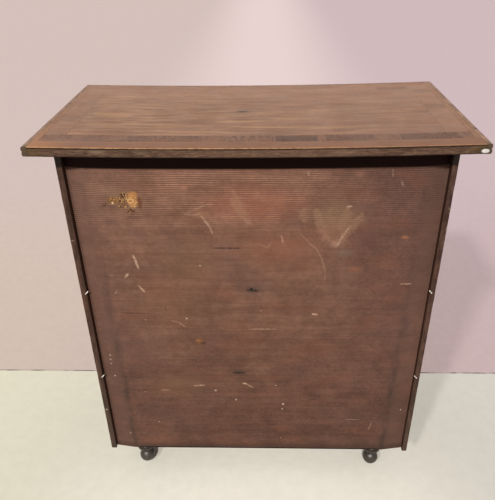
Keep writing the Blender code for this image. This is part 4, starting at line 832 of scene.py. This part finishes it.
def grid_lines(low, high, spacing, margin):
    """Places along one axis: close together within the margin at each end, and evenly spaced between."""
    ends = [share * margin for share in (*EDGE_SHARES, 1.0)]
    count = max(1, round((high - low - 2 * margin) / spacing))
    between = np.linspace(low + margin, high - margin, count + 1)[1:-1]
    return [low + end for end in ends] + list(between) + [high - end for end in reversed(ends)]


def box_surface(lines):
    """Points and faces of a box's surface, with grid lines at given places along each axis."""
    last = [len(places) - 1 for places in lines]
    numbers = {}
    points = []

    def number(key):
        if key not in numbers:
            numbers[key] = len(points)
            points.append([lines[axis][step] for axis, step in enumerate(key)])
        return numbers[key]

    faces = []
    for axis in range(3):
        one, two = [other for other in range(3) if other != axis]
        for end in (0, last[axis]):
            for i in range(last[one]):
                for j in range(last[two]):
                    corners = []
                    for di, dj in ((0, 0), (1, 0), (1, 1), (0, 1)):
                        key = [0, 0, 0]
                        key[axis], key[one], key[two] = end, i + di, j + dj
                        corners.append(number(tuple(key)))
                    faces.append(corners)
    return np.array(points), faces


def worn_box(low, high, spacing, rounding, seed, depth=0.0):
    """A box whose edges are rubbed round unevenly and whose faces are slightly uneven."""
    low, high = np.array(low, float), np.array(high, float)
    margin = rounding * 1.7
    points, faces = box_surface([grid_lines(*places, margin) for places in zip(low, high, spacing)])
    wear = noise_at(points, (18 * MM,) * 3, seed) + 0.7 * noise_at(points, (5 * MM,) * 3, seed + 1)
    radius = rounding * np.clip(1 + 0.55 * wear, 0.25, 1.65)[:, None]
    nearest = np.clip(points, low + radius, high - radius)
    away = points - nearest
    length = np.maximum(np.linalg.norm(away, axis=1, keepdims=True), 1e-9)
    direction = away / length
    dents = noise_at(points, (14 * MM,) * 3, seed + 2) + 0.6 * noise_at(points, (4 * MM,) * 3, seed + 3)
    return nearest + direction * (radius - depth * np.clip(dents, 0, None)[:, None]), faces


def cut(obj, shapes):
    """Cuts closed shapes out of a piece, each given by its points and faces."""
    cutters = [add_object("cutter", closed_mesh("cutter", points, faces)) for points, faces in shapes]
    for cutter in cutters:
        modifier = obj.modifiers.new("cut", "BOOLEAN")
        modifier.operation = "DIFFERENCE"
        modifier.solver = "EXACT"
        modifier.object = cutter
    bpy.context.view_layer.update()
    evaluated = obj.evaluated_get(bpy.context.evaluated_depsgraph_get())
    mesh = bpy.data.meshes.new_from_object(evaluated)
    obj.modifiers.clear()
    obj.data = mesh
    for cutter in cutters:
        bpy.data.objects.remove(cutter)


def tube_faces(rings, sides):
    """Faces of a tube of rings of points, closed at both ends."""
    faces = []
    for low in range(0, (rings - 1) * sides, sides):
        for i in range(sides):
            j = (i + 1) % sides
            faces.append((low + i, low + j, low + sides + j, low + sides + i))
    return faces + [tuple(range(sides)), tuple(range((rings - 1) * sides, rings * sides))]


def lathe(profile, foot, direction, sides=64):
    """Points and faces of a turned body through radii and heights from its foot."""
    along = Vector(direction).normalized()
    turn = Vector((0, 0, 1)).rotation_difference(along)
    points = []
    for radius, height in profile:
        for i in range(sides):
            angle = 2 * math.pi * i / sides
            spoke = Vector((radius * math.cos(angle), radius * math.sin(angle), height))
            points.append(Vector(foot) + turn @ spoke)
    return points, tube_faces(len(profile), sides)


def curve_through(points, steps):
    """Points along a smooth curve through the given ones."""
    padded = [points[0], *points, points[-1]]
    result = [points[0]]
    for a, b, c, d in zip(padded, padded[1:], padded[2:], padded[3:]):
        for step in range(1, steps + 1):
            t = step / steps
            square, cube = t ** 2, t ** 3
            weights = (2 * square - t - cube, 2 - 5 * square + 3 * cube,
                       t + 4 * square - 3 * cube, cube - square)
            result.append(tuple(sum(w * v for w, v in zip(weights, values)) / 2
                                for values in zip(a, b, c, d)))
    return result


# Back


def back_relief(x, z):
    """How far the rear face of the back stands out from flat: warp, grain, knots and dents."""
    flat = np.column_stack((x, z))
    relief = 0.35 * MM * noise_at(flat, (0.25, 0.11), 7)
    relief += 0.05 * MM * noise_at(flat, (0.20, 6 * MM), 5)
    for (knot_x, knot_z), size, rise in ((BIG_KNOT, 0.022, 0.55 * MM), (SMALL_KNOT, 0.010, 0.30 * MM)):
        distance = np.hypot((x - knot_x) / size, (z - knot_z) / (0.7 * size))
        crumbs = noise_at(flat, (3 * MM, 3 * MM), 11)
        relief += rise * np.exp(-distance ** 2) * crumbs - 0.4 * rise * np.exp(-(distance / 0.45) ** 2)
    for places, width, strength in DARK_STROKES:
        start, end = np.array(places[0]) * MM, np.array(places[-1]) * MM
        along = end - start
        share = np.clip(((flat - start) @ along) / (along @ along), 0, 1)
        distance = np.linalg.norm(flat - start - share[:, None] * along, axis=1)
        relief -= 0.5 * MM * strength * np.exp(-(distance / ((width + 1) * MM)) ** 2)
    return relief


def lines_near(low, high, spacing, middle, reach, fine):
    """Places from low to high, closer together near the middle of a knot."""
    places = list(np.arange(low, high, spacing)) + [high]
    places += [place for place in np.arange(middle - reach, middle + reach, fine) if low < place < high]
    kept = []
    for place in sorted(places):
        if not kept or place - kept[-1] > 0.7 * MM:
            kept.append(place)
    return kept


def back_board(name):
    low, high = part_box(name)
    bottom = back_low_edge() if name == "back_board_lower" else low.z
    edge = 2.5 * MM
    ends = [share * edge for share in EDGE_SHARES]
    rows = [bottom + end for end in ends]
    rows += lines_near(bottom + edge, high.z - edge, 4 * MM, BIG_KNOT[1], 24 * MM, 1.4 * MM)
    rows += [high.z - end for end in reversed(ends)]
    half = 294 * MM
    field = np.array(lines_near(-half, half, 6 * MM, BIG_KNOT[0], 30 * MM, 1.5 * MM))
    shares = np.array([0.0, 0.03, 0.08, 0.16, 0.30, 0.48, 0.66, 0.84, 1.0])
    points = []
    for z in rows:
        arris = back_arris(z)
        shoulders = {side: INNER + width - GAP for side, width in REBATES.items()}
        inner = np.linspace(half, arris, 5)[1:-1]
        reach = {side: np.concatenate((inner, arris + shares * (shoulder - arris)))
                 for side, shoulder in shoulders.items()}
        x = np.concatenate((-reach[-1][::-1], field, reach[1]))
        slope = BEVEL_DROP / (INNER - arris)
        past = np.abs(x) - arris
        drop = slope * 0.5 * (past + np.sqrt(past ** 2 + ARRIS_ROUNDING ** 2))
        near_edge = min(z - bottom, high.z - z)
        eased = 0.2 * MM * max(0.0, 1 - near_edge / edge) ** 2
        y = BACK_REAR - 0.3 * MM - drop + back_relief(x, np.full(len(x), z)) - eased
        points += [(a, b, z) for a, b in zip(x, y)] + [(a, BACK_FRONT, z) for a in x]
    count = len(x)
    ring = 2 * count
    faces = []
    for base in range(0, (len(rows) - 1) * ring, ring):
        above = base + ring
        for i in range(count - 1):
            faces.append((base + i, base + i + 1, above + i + 1, above + i))
            faces.append((base + count + i, above + count + i, above + count + i + 1, base + count + i + 1))
        for i in (0, count - 1):
            faces.append((base + i, above + i, above + count + i, base + count + i))
    for base in (0, (len(rows) - 1) * ring):
        faces += [(base + i, base + count + i, base + count + i + 1, base + i + 1) for i in range(count - 1)]
    new_piece(name + "_wood", points, faces, "back", "carcass", (name,), 50)


for board in ("back_board_upper", "back_board_middle", "back_board_lower"):
    back_board(board)


# Side panels

TENON_SHOULDERS = {"base_rail": 4.5 * MM, "top_rail_front": 11.25 * MM, "top_rail_rear": 11.25 * MM}
DUST_BOARD_NOTCH = 12 * MM
LEAF_THICKNESS = 1.5 * MM


def side_panel(word, side):
    """A side with a rebate for the back, and housings for the boards, the rails' tenons and the hinges."""
    name = "side_panel_" + word
    low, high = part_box(name)
    if side < 0:
        low.x -= SIDE_BULGE
    points, faces = worn_box(low, high, (4 * MM, 9 * MM, 7 * MM), 1.8 * MM, 40 + side, 0.12 * MM)
    panel = new_piece(name + "_wood", points, faces, "side", "carcass", (name,))
    overrun = 4 * MM
    housings = []

    def house(depth, front, rear, bottom, top):
        across = sorted((side * (INNER - overrun), side * (INNER + depth)))
        housings.append(box_surface([across, (front, rear), (bottom, top)]))

    for board in ("bottom_board", "lower_shelf", "upper_shelf", "dust_board"):
        low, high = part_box(board)
        front = FRONT + DUST_BOARD_NOTCH if board == "dust_board" else low.y
        house(high.x - INNER + GAP, front - GAP, BACK_FRONT, low.z - GAP, high.z + GAP)
    house(REBATES[side], BACK_FRONT - GAP, REAR + overrun, SIDE_BOTTOM - overrun, BODY_TOP + overrun)
    for rail, shoulder in TENON_SHOULDERS.items():
        low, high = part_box(rail)
        below, above = (overrun, GAP) if rail == "base_rail" else (GAP, overrun)
        front, rear = low.y + shoulder - GAP, high.y - shoulder + GAP
        house(high.x - INNER + GAP, front, rear, low.z - below, high.z + above)
    for place in ("lower", "upper"):
        low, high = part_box("hinge_%s_%s_frame_leaf" % (word, place))
        house(LEAF_THICKNESS + GAP, FRONT - overrun, high.y + GAP, low.z - GAP, high.z + GAP)
    cut(panel, housings)
    panel.data.set_sharp_from_angle(angle=math.radians(40))


side_panel("left", -1)
side_panel("right", 1)


# Top


def sag(x):
    """How far the old top has sunk between its ends."""
    return TOP_SAG * (1 - (np.asarray(x) / TOP_HIGH.x) ** 2)


def top_core():
    low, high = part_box("top_board")
    points, faces = worn_box(low, high, (5 * MM, 12 * MM, 3 * MM), 0.7 * MM, 60)
    rear = points[:, 1] > high.y - 1.2 * MM
    flat = points[:, [0, 2]]
    rough = noise_at(flat, (26 * MM, 4 * MM), 61) + 0.8 * noise_at(flat, (7 * MM, 2.5 * MM), 62)
    points[:, 1] -= np.where(rear, 0.35 * MM * np.clip(rough + 0.6, 0, None), 0)
    points[:, 2] -= sag(points[:, 0])
    new_piece("top_core_wood", points, faces, "raw_edge", "carcass", ("top_board",))


def spread(low, high, spacing):
    return list(np.linspace(low, high, max(2, round((high - low) / spacing) + 1)))


def veneer(node, finish, inner=None, eased=False):
    """A thin sheet that follows the sunken top, with an opening where the sheet inside it lies."""
    low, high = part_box(node)
    edge = 0.6 * MM
    xs = spread(low.x, high.x, 8 * MM)
    ys = spread(low.y, high.y, 12 * MM)
    if eased:
        ys += [high.y - edge]
    if inner:
        hole_low, hole_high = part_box(inner)
        hole = (hole_low.x - GAP, hole_high.x + GAP, hole_low.y - GAP, hole_high.y + GAP)
        xs += hole[:2]
        ys += hole[2:]
    xs, ys = sorted(set(xs)), sorted(set(ys))
    numbers, points, faces = {}, [], []

    def number(i, j, upper):
        if (i, j, upper) not in numbers:
            worn = eased and upper and ys[j] > high.y - edge / 2
            z = (high.z if upper else low.z) - (edge * 0.7 if worn else 0) - float(sag(xs[i]))
            numbers[i, j, upper] = len(points)
            points.append((xs[i], ys[j], z))
        return numbers[i, j, upper]

    cells = set()
    for i in range(len(xs) - 1):
        for j in range(len(ys) - 1):
            middle_x, middle_y = (xs[i] + xs[i + 1]) / 2, (ys[j] + ys[j + 1]) / 2
            if not (inner and hole[0] < middle_x < hole[1] and hole[2] < middle_y < hole[3]):
                cells.add((i, j))
    for i, j in sorted(cells):
        for upper in (False, True):
            faces.append([number(i + a, j + b, upper) for a, b in ((0, 0), (1, 0), (1, 1), (0, 1))])
        rims = {(i - 1, j): ((0, 0), (0, 1)), (i + 1, j): ((1, 0), (1, 1)),
                (i, j - 1): ((0, 0), (1, 0)), (i, j + 1): ((0, 1), (1, 1))}
        for neighbour, ends in rims.items():
            if neighbour not in cells:
                (a, b), (c, d) = ends
                faces.append([number(i + a, j + b, False), number(i + c, j + d, False),
                              number(i + c, j + d, True), number(i + a, j + b, True)])
    new_piece(node + "_sheet", points, faces, finish, "carcass", (node,), 50)


def double_bead(step_count):
    """The moulding's section: distance out from the core's edge, and height above its lower face."""
    thickness = TOP_HIGH.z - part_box("top_moulding_left")[0].z
    bead = thickness / 4
    stock = MOULDING_WIDTH * MOULDING_CORE_SHARE
    section = [(0.0, 0.0)]
    for middle in (bead, 3 * bead):
        for step in range(step_count + 1):
            angle = math.pi * (step / step_count - 0.5)
            out = stock + (MOULDING_WIDTH - stock) * math.cos(angle)
            section.append((out, middle + bead * math.sin(angle)))
    section.append((0.0, thickness))
    unique = [section[0]]
    for place in section[1:]:
        if math.dist(place, unique[-1]) > 0.01 * MM:
            unique.append(place)
    return unique


def moulding(name, start, end, outward, mitres):
    """A strip with two beads between two points of the core's lower edge, rubbed and nicked."""
    section = double_bead(12)
    start, end, outward = Vector(start), Vector(end), Vector(outward)
    along = (end - start).normalized()
    length = (end - start).length
    count = round(length / (3.5 * MM))
    points = []
    for ring in range(count + 1):
        share = ring / count
        for out, up in section:
            shift = mitres[0] * out * (1 - share) + mitres[1] * out * share
            points.append(start + along * (length * share + shift) + outward * out + Vector((0, 0, up)))
    points = np.array(points)
    wear = noise_at(points, (22 * MM,) * 3, 71) + 0.7 * noise_at(points, (6 * MM,) * 3, 72)
    outs = np.tile([out for out, up in section], count + 1)
    depth = np.clip(wear - 0.2, 0, None) * 0.5 * MM * (outs / MOULDING_WIDTH)
    points -= depth[:, None] * np.array(outward)
    points[:, 2] -= sag(points[:, 0])
    faces = tube_faces(count + 1, len(section))
    new_piece(name + "_wood", points, faces, "moulding", "carcass", (name,), 60)


def mouldings():
    edge_x = TOP_HIGH.x - MOULDING_WIDTH
    edge_y = TOP_LOW.y + MOULDING_WIDTH
    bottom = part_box("top_moulding_left")[0].z
    for name, side in (("top_moulding_left", -1), ("top_moulding_right", 1)):
        start = (side * edge_x, edge_y + GAP, bottom)
        moulding(name, start, (side * edge_x, TOP_HIGH.y, bottom), (side, 0, 0), (-1, 0))
    start = (-edge_x + GAP, edge_y, bottom)
    moulding("top_moulding_front", start, (edge_x - GAP, edge_y, bottom), (0, -1, 0), (-1, 1))


top_core()
mouldings()
veneer("top_border_veneer", "border", "top_crossband", True)
veneer("top_crossband", "crossband", "top_field_veneer")
veneer("top_field_veneer", "field")


# Feet and knobs


def foot_profile():
    """Radius and height up a foot: ball, neck, cove, collar, turned body and tenon."""
    ball, neck, collar, rim = 19.5 * MM, 10.5 * MM, 22.5 * MM, 53.5 * MM
    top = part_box("bottom_board")[0].z - GAP
    centre = ball - 0.5 * MM
    low, high = -math.asin(centre / ball), math.acos(neck / ball)
    profile = []
    for step in range(17):
        angle = low + (high - low) * step / 16
        profile.append((ball * math.cos(angle), centre + ball * math.sin(angle)))
    neck_z = profile[-1][1]
    cove = [profile[-1]]
    for radius_share, height_share in ((0.47, 0.14), (0.52, 0.42), (0.64, 0.70), (0.82, 0.90), (0.97, 1.0)):
        cove.append((collar * radius_share, neck_z + (rim - neck_z) * height_share))
    profile += curve_through(cove, 4)[1:]
    height = top - rim
    profile += [(collar, rim + height * 0.035), (collar * 0.97, rim + height * 0.075)]
    body = [(0.72, 0.095), (0.62, 0.14), (0.64, 0.26), (0.74, 0.46), (0.89, 0.66), (1.02, 0.80), (1.04, 0.86)]
    profile += curve_through([(collar * radius, rim + height * share) for radius, share in body], 4)
    profile += [(collar * 1.14, rim + height * 0.885), (collar * 1.16, rim + height * 0.90),
                (collar * 1.16, top - 0.3 * MM), (collar * 1.15, top), (10 * MM, top)]
    tenon_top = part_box("foot_rear_left")[1].z
    return profile + [(10 * MM, tenon_top)]


def feet():
    profile = foot_profile()
    for place in ("front_left", "front_right", "rear_left", "rear_right"):
        name = "foot_" + place
        middle = middle_of(name)
        points, faces = lathe(profile, (middle.x, middle.y, 0.0), (0, 0, 1))
        new_piece(name + "_turned", points, faces, "turned", "carcass", (name,), 50)


def knobs():
    radius, projection, spigot = 10.5 * MM, 22 * MM, 3 * MM
    shares = [(0.82, 0.0), (0.86, 0.06), (0.58, 0.13), (0.44, 0.24), (0.46, 0.38), (0.80, 0.52), (1.0, 0.68),
              (0.98, 0.80), (0.72, 0.92), (0.30, 1.0)]
    curve = curve_through([(radius * share, projection * along) for share, along in shares], 4)
    for word in ("left", "right"):
        name = "drawer_knob_" + word
        middle, rear = middle_of(name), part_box(name)[1].y
        start = rear - (FRONT - GAP)
        profile = [(spigot, 0.0), (spigot, start)] + [(r, start + along) for r, along in curve]
        points, faces = lathe(profile, (middle.x, rear, middle.z), (0, -1, 0), 48)
        new_piece(name + "_turned", points, faces, "brass", "drawer", (name,), 50)


feet()
knobs()


# Small fasteners


def turned_piece(name, profile, foot, direction, finish, body, sides=24):
    points, faces = lathe(profile, foot, direction, sides)
    return new_piece(name, points, faces, finish, body)


def screw(name, place, normal, radius, body, turn):
    """A countersunk screw's head, almost flush, with a slot across it."""
    rise = 0.12 * MM
    profile = [(radius * 0.6, 0.0), (radius * 0.97, 0.5 * MM), (radius, 0.5 * MM + rise * 0.3),
               (radius * 0.93, 0.5 * MM + rise * 0.7), (radius * 0.5, 0.5 * MM + rise)]
    normal = Vector(normal)
    foot = Vector(place) - normal * 0.5 * MM
    head = turned_piece(name, profile, foot, normal, "brass", body)
    across = normal.orthogonal().normalized()
    across.rotate(Matrix.Rotation(turn, 3, normal))
    other = normal.cross(across)
    reach, half = radius * 1.3, radius * 0.13
    corners, faces = box_surface([(-reach, reach), (-half, half), (-0.25 * MM, 1 * MM)])
    slot = [Vector(place) + across * a + other * b + normal * depth for a, b, depth in corners]
    cut(head, [(slot, faces)])


def hinge_screws():
    spacing, inset = 17 * MM, 8 * MM
    for side, word in ((-1, "left"), (1, "right")):
        for place in ("lower", "upper"):
            for leaf, body, facing in (("frame", "carcass", -side), ("door", word + "_door", side)):
                name = "%s_%s_%s" % (word, place, leaf)
                middle = middle_of("hinge_" + name + "_leaf")
                x = side * (INNER if leaf == "frame" else INNER - 1 * MM)
                for i in range(3):
                    head = (x, FRONT + inset, middle.z + (i - 1) * spacing)
                    screw("screw_%s_%d" % (name, i), head, (facing, 0, 0), 2.6 * MM, body, 0.6 * i + side)


def corner_screws(name, middle, across, up, radius, body, turn):
    """Four screws at the corners of a plate that faces the rear."""
    for i, (a, b) in enumerate(itertools.product((-1, 1), (-1, 1))):
        place = middle + Vector((a * across, 0.0, b * up))
        screw("screw_%s_%d" % (name, i), place, (0, 1, 0), radius, body, turn * i)


def plate_screws():
    for place in ("lower", "upper"):
        middle = middle_of(place + "_bolt_plate")
        middle.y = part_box(place + "_bolt_plate")[0].y + 1.5 * MM
        corner_screws(place + "_bolt", middle, 6.2 * MM, 13 * MM, 1.7 * MM, "left_door", 0.8)
    low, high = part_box("lock_case")
    middle = Vector(((low.x + high.x) / 2, high.y, (low.z + high.z) / 2))
    inset = 4.5 * MM
    across, up = (high.x - low.x) / 2 - inset, (high.z - low.z) / 2 - inset
    corner_screws("lock", middle, across, up, 2.2 * MM, "right_door", 0.9)


def escutcheon_pins():
    low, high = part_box("escutcheon")
    radius, stand, rise, inset = 0.9 * MM, 0.6 * MM, 0.5 * MM, 3 * MM
    dome = [(radius * math.cos(angle), stand + rise * math.sin(angle)) for angle in (0.0, 0.4, 0.8, 1.2)]
    for word, z in (("lower", low.z + inset), ("upper", high.z - inset)):
        foot = ((low.x + high.x) / 2, low.y + stand, z)
        name = "escutcheon_pin_" + word
        turned_piece(name, [(0.6 * MM, 0.0), *dome], foot, (0, -1, 0), "brass", "right_door", 16)


def brads():
    """Bright brads driven aslant into the sides' rear edges, at the shelves."""
    shank, head = 1.2 * MM, 1.6 * MM
    profile = [(shank * 0.7, 0.0), (shank, 0.6 * MM), (shank, 7.4 * MM), (head, 7.8 * MM), (head, 8.4 * MM),
               (head * 0.7, 8.8 * MM)]
    # Distance out from the side's inner face, and height above the shelf's middle, of each end of a brad
    places = {"right": ((1.0 * MM, -4.6 * MM), (7.0 * MM, -11.0 * MM)),
              "left": ((5.5 * MM, -0.5 * MM), (12.5 * MM, -8.0 * MM))}
    for shelf in ("lower_shelf", "upper_shelf"):
        z = middle_of(shelf).z
        for side, word in ((-1, "left"), (1, "right")):
            (near, near_rise), (far, far_rise) = places[word]
            inner = Vector((side * (INNER + near), REAR - 1.2 * MM, z + near_rise))
            outer = Vector((side * (INNER + far), REAR - 0.1 * MM, z + far_rise))
            name = "brad_%s_%s" % (shelf, word)
            turned_piece(name, profile, inner, outer - inner, "bright_steel", "carcass", 20)


hinge_screws()
plate_screws()
escutcheon_pins()
brads()


# Finishes of the frame's own pieces

NODE_FINISHES = {
    "rail": "base_rail drawer_front left_door_bottom_rail left_door_top_rail right_door_bottom_rail "
            "right_door_top_rail top_rail_front",
    "stile": "left_door_hinge_stile left_door_meeting_stile right_door_hinge_stile right_door_meeting_stile",
    "panel": "left_door_panel right_door_panel",
    "inner_x": "bottom_board drawer_back drawer_bottom dust_board lower_shelf top_rail_rear upper_shelf",
    "inner_y": "drawer_side_left drawer_side_right",
    "brass": "escutcheon lock_bolt lock_case lower_bolt lower_bolt_plate upper_bolt upper_bolt_plate",
    "steel": "key",
    "iron": "nail_lower_shelf nail_upper_shelf",
}


def finish_nodes():
    finishes = {name: finish for finish, names in NODE_FINISHES.items() for name in names.split()}
    for name, node in NODES.items():
        finish = "brass" if name.startswith("hinge_") else finishes.get(name)
        if finish:
            for slot in node.material_slots:
                slot.material = FINISH[finish]


finish_nodes()


# Stage


def seen_rays(tree):
    """1 for rays of the camera, of reflections and through glass, and 0 for those that light things."""
    path = tree.node("LightPath", {}).node
    seen = path.outputs["Is Camera Ray"]
    for name in ("Is Glossy Ray", "Is Transmission Ray"):
        seen = tree.math("MAXIMUM", seen, path.outputs[name])
    return seen


def floor_finish():
    """Pale floor, cream near the camera and cooler beyond the line where the room's wall stands, with painted
    light and shade: darker towards -X for the cabinet's painted shadow on the floor and the wall, a painted
    patch of light in the middle of the far wall, and a painted pool of light on the floor between the object
    and the camera.
    """
    finish = Finish("floor")
    far = finish.remap(finish.y, WALL_LINE + 2 * MM, WALL_LINE - 2 * MM)
    # Painted shadow of the cabinet: the wall and the floor darker towards -X
    across = finish.remap(finish.x, 1.3, -1.3)
    near_wall = finish.mix(across, rgb(211, 192, 180), rgb(200, 176, 179))
    far_wall = finish.mix(across, rgb(211, 192, 187), rgb(206, 185, 189))
    # Painted light: the far wall paler in its middle
    middle = finish.remap(finish.absolute(finish.x), 1.1, 0.1, 0.0, 0.8)
    far_wall = finish.mix(middle, far_wall, rgb(236, 216, 214))
    cool = finish.mix(finish.remap(finish.y, -0.6, -2.0), near_wall, far_wall)
    warm = finish.mix(across, rgb(228, 223, 200), rgb(213, 207, 200))
    # Painted pool of light on the floor between the object and the camera
    from_lit = finish.vector("DISTANCE", finish.point, FLOOR_LIGHT_POOL, output="Value")
    warm = finish.mix(finish.remap(from_lit, 0.70, 0.20), warm, rgb(248, 242, 228))
    speckle = finish.patches(0.03, 3.0, 0.3, 0.7, 6.0, 0.65, 0.975, 1.025)
    colour = finish.mix(1.0, finish.mix(far, warm, cool), finish.grey(speckle), "MULTIPLY")
    from_line = finish.absolute(finish.math("SUBTRACT", finish.y, WALL_LINE))
    gaps = finish.patches(0.05, 7.0, 0.40, 0.58, 4.0, 0.6, 0.25, 0.85)
    line = finish.times(finish.remap(from_line, 4 * MM, 1 * MM), gaps)
    colour = finish.mix(line, colour, rgb(96, 84, 76))
    # The floor that the camera and reflections see is paler than the light that it throws back
    return finish.done(finish.mix(seen_rays(finish), rgb(112, 106, 100), colour), 0.80, specular=0.2)


def make_stage():
    mesh = bpy.data.meshes.new("floor")
    corners = [(a * FLOOR_HALF, b * FLOOR_HALF, FLOOR_LEVEL) for a, b in ((-1, -1), (1, -1), (1, 1), (-1, 1))]
    mesh.from_pydata(corners, [], [(0, 1, 2, 3)])
    mesh.materials.append(floor_finish())
    floor = add_object("floor", mesh)
    floor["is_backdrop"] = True


def make_lights():
    for name, (heading, height, strength, softness) in SUNS.items():
        light = bpy.data.lights.new(name, "SUN")
        light.energy = strength
        light.angle = math.radians(softness)
        heading, height = math.radians(heading), math.radians(height)
        level = math.cos(height)
        toward = Vector((math.sin(heading) * level, math.cos(heading) * level, math.sin(height)))
        add_object(name, light).rotation_euler = toward.to_track_quat("Z", "Y").to_euler()
    bpy.data.lights["key_light"].color = KEY_COLOUR
    world = bpy.data.worlds.new("studio")
    bpy.context.scene.world = world
    world.use_nodes = True
    background = world.node_tree.nodes["Background"]
    background.inputs["Color"].default_value = WORLD_COLOUR
    # The backdrop that the camera and reflections see is paler than the light that it gives
    tree = Tree(world.node_tree)
    strengths = {"Value": seen_rays(tree), "To Min": WORLD_STRENGTH, "To Max": BACKDROP_STRENGTH}
    tree.plug(background.inputs["Strength"], tree.node("MapRange", strengths))


def make_camera():
    data = bpy.data.cameras.new("camera")
    data.sensor_fit = "HORIZONTAL"
    data.sensor_width = SENSOR_WIDTH
    data.lens = FOCAL_PIXELS * SENSOR_WIDTH / FRAME_WIDTH_PIXELS
    data.clip_end = 100.0
    camera = add_object("camera", data)
    turn = (
        Matrix.Rotation(CAMERA_HEADING, 4, "Z")
        @ Matrix.Rotation(math.pi / 2 - CAMERA_PITCH, 4, "X")
        @ Matrix.Rotation(-CAMERA_ROLL, 4, "Z")
    )
    camera.matrix_world = Matrix.Translation(CAMERA_PLACE) @ turn
    bpy.context.scene.camera = camera


make_stage()
make_lights()
make_camera()

bpy.context.scene.view_settings.view_transform = "Standard"

bpy.context.view_layer.update()
boxes = {"cad": CAD_BOX, "visual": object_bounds()}
{name: [list(corner) for corner in box] for name, box in boxes.items()}
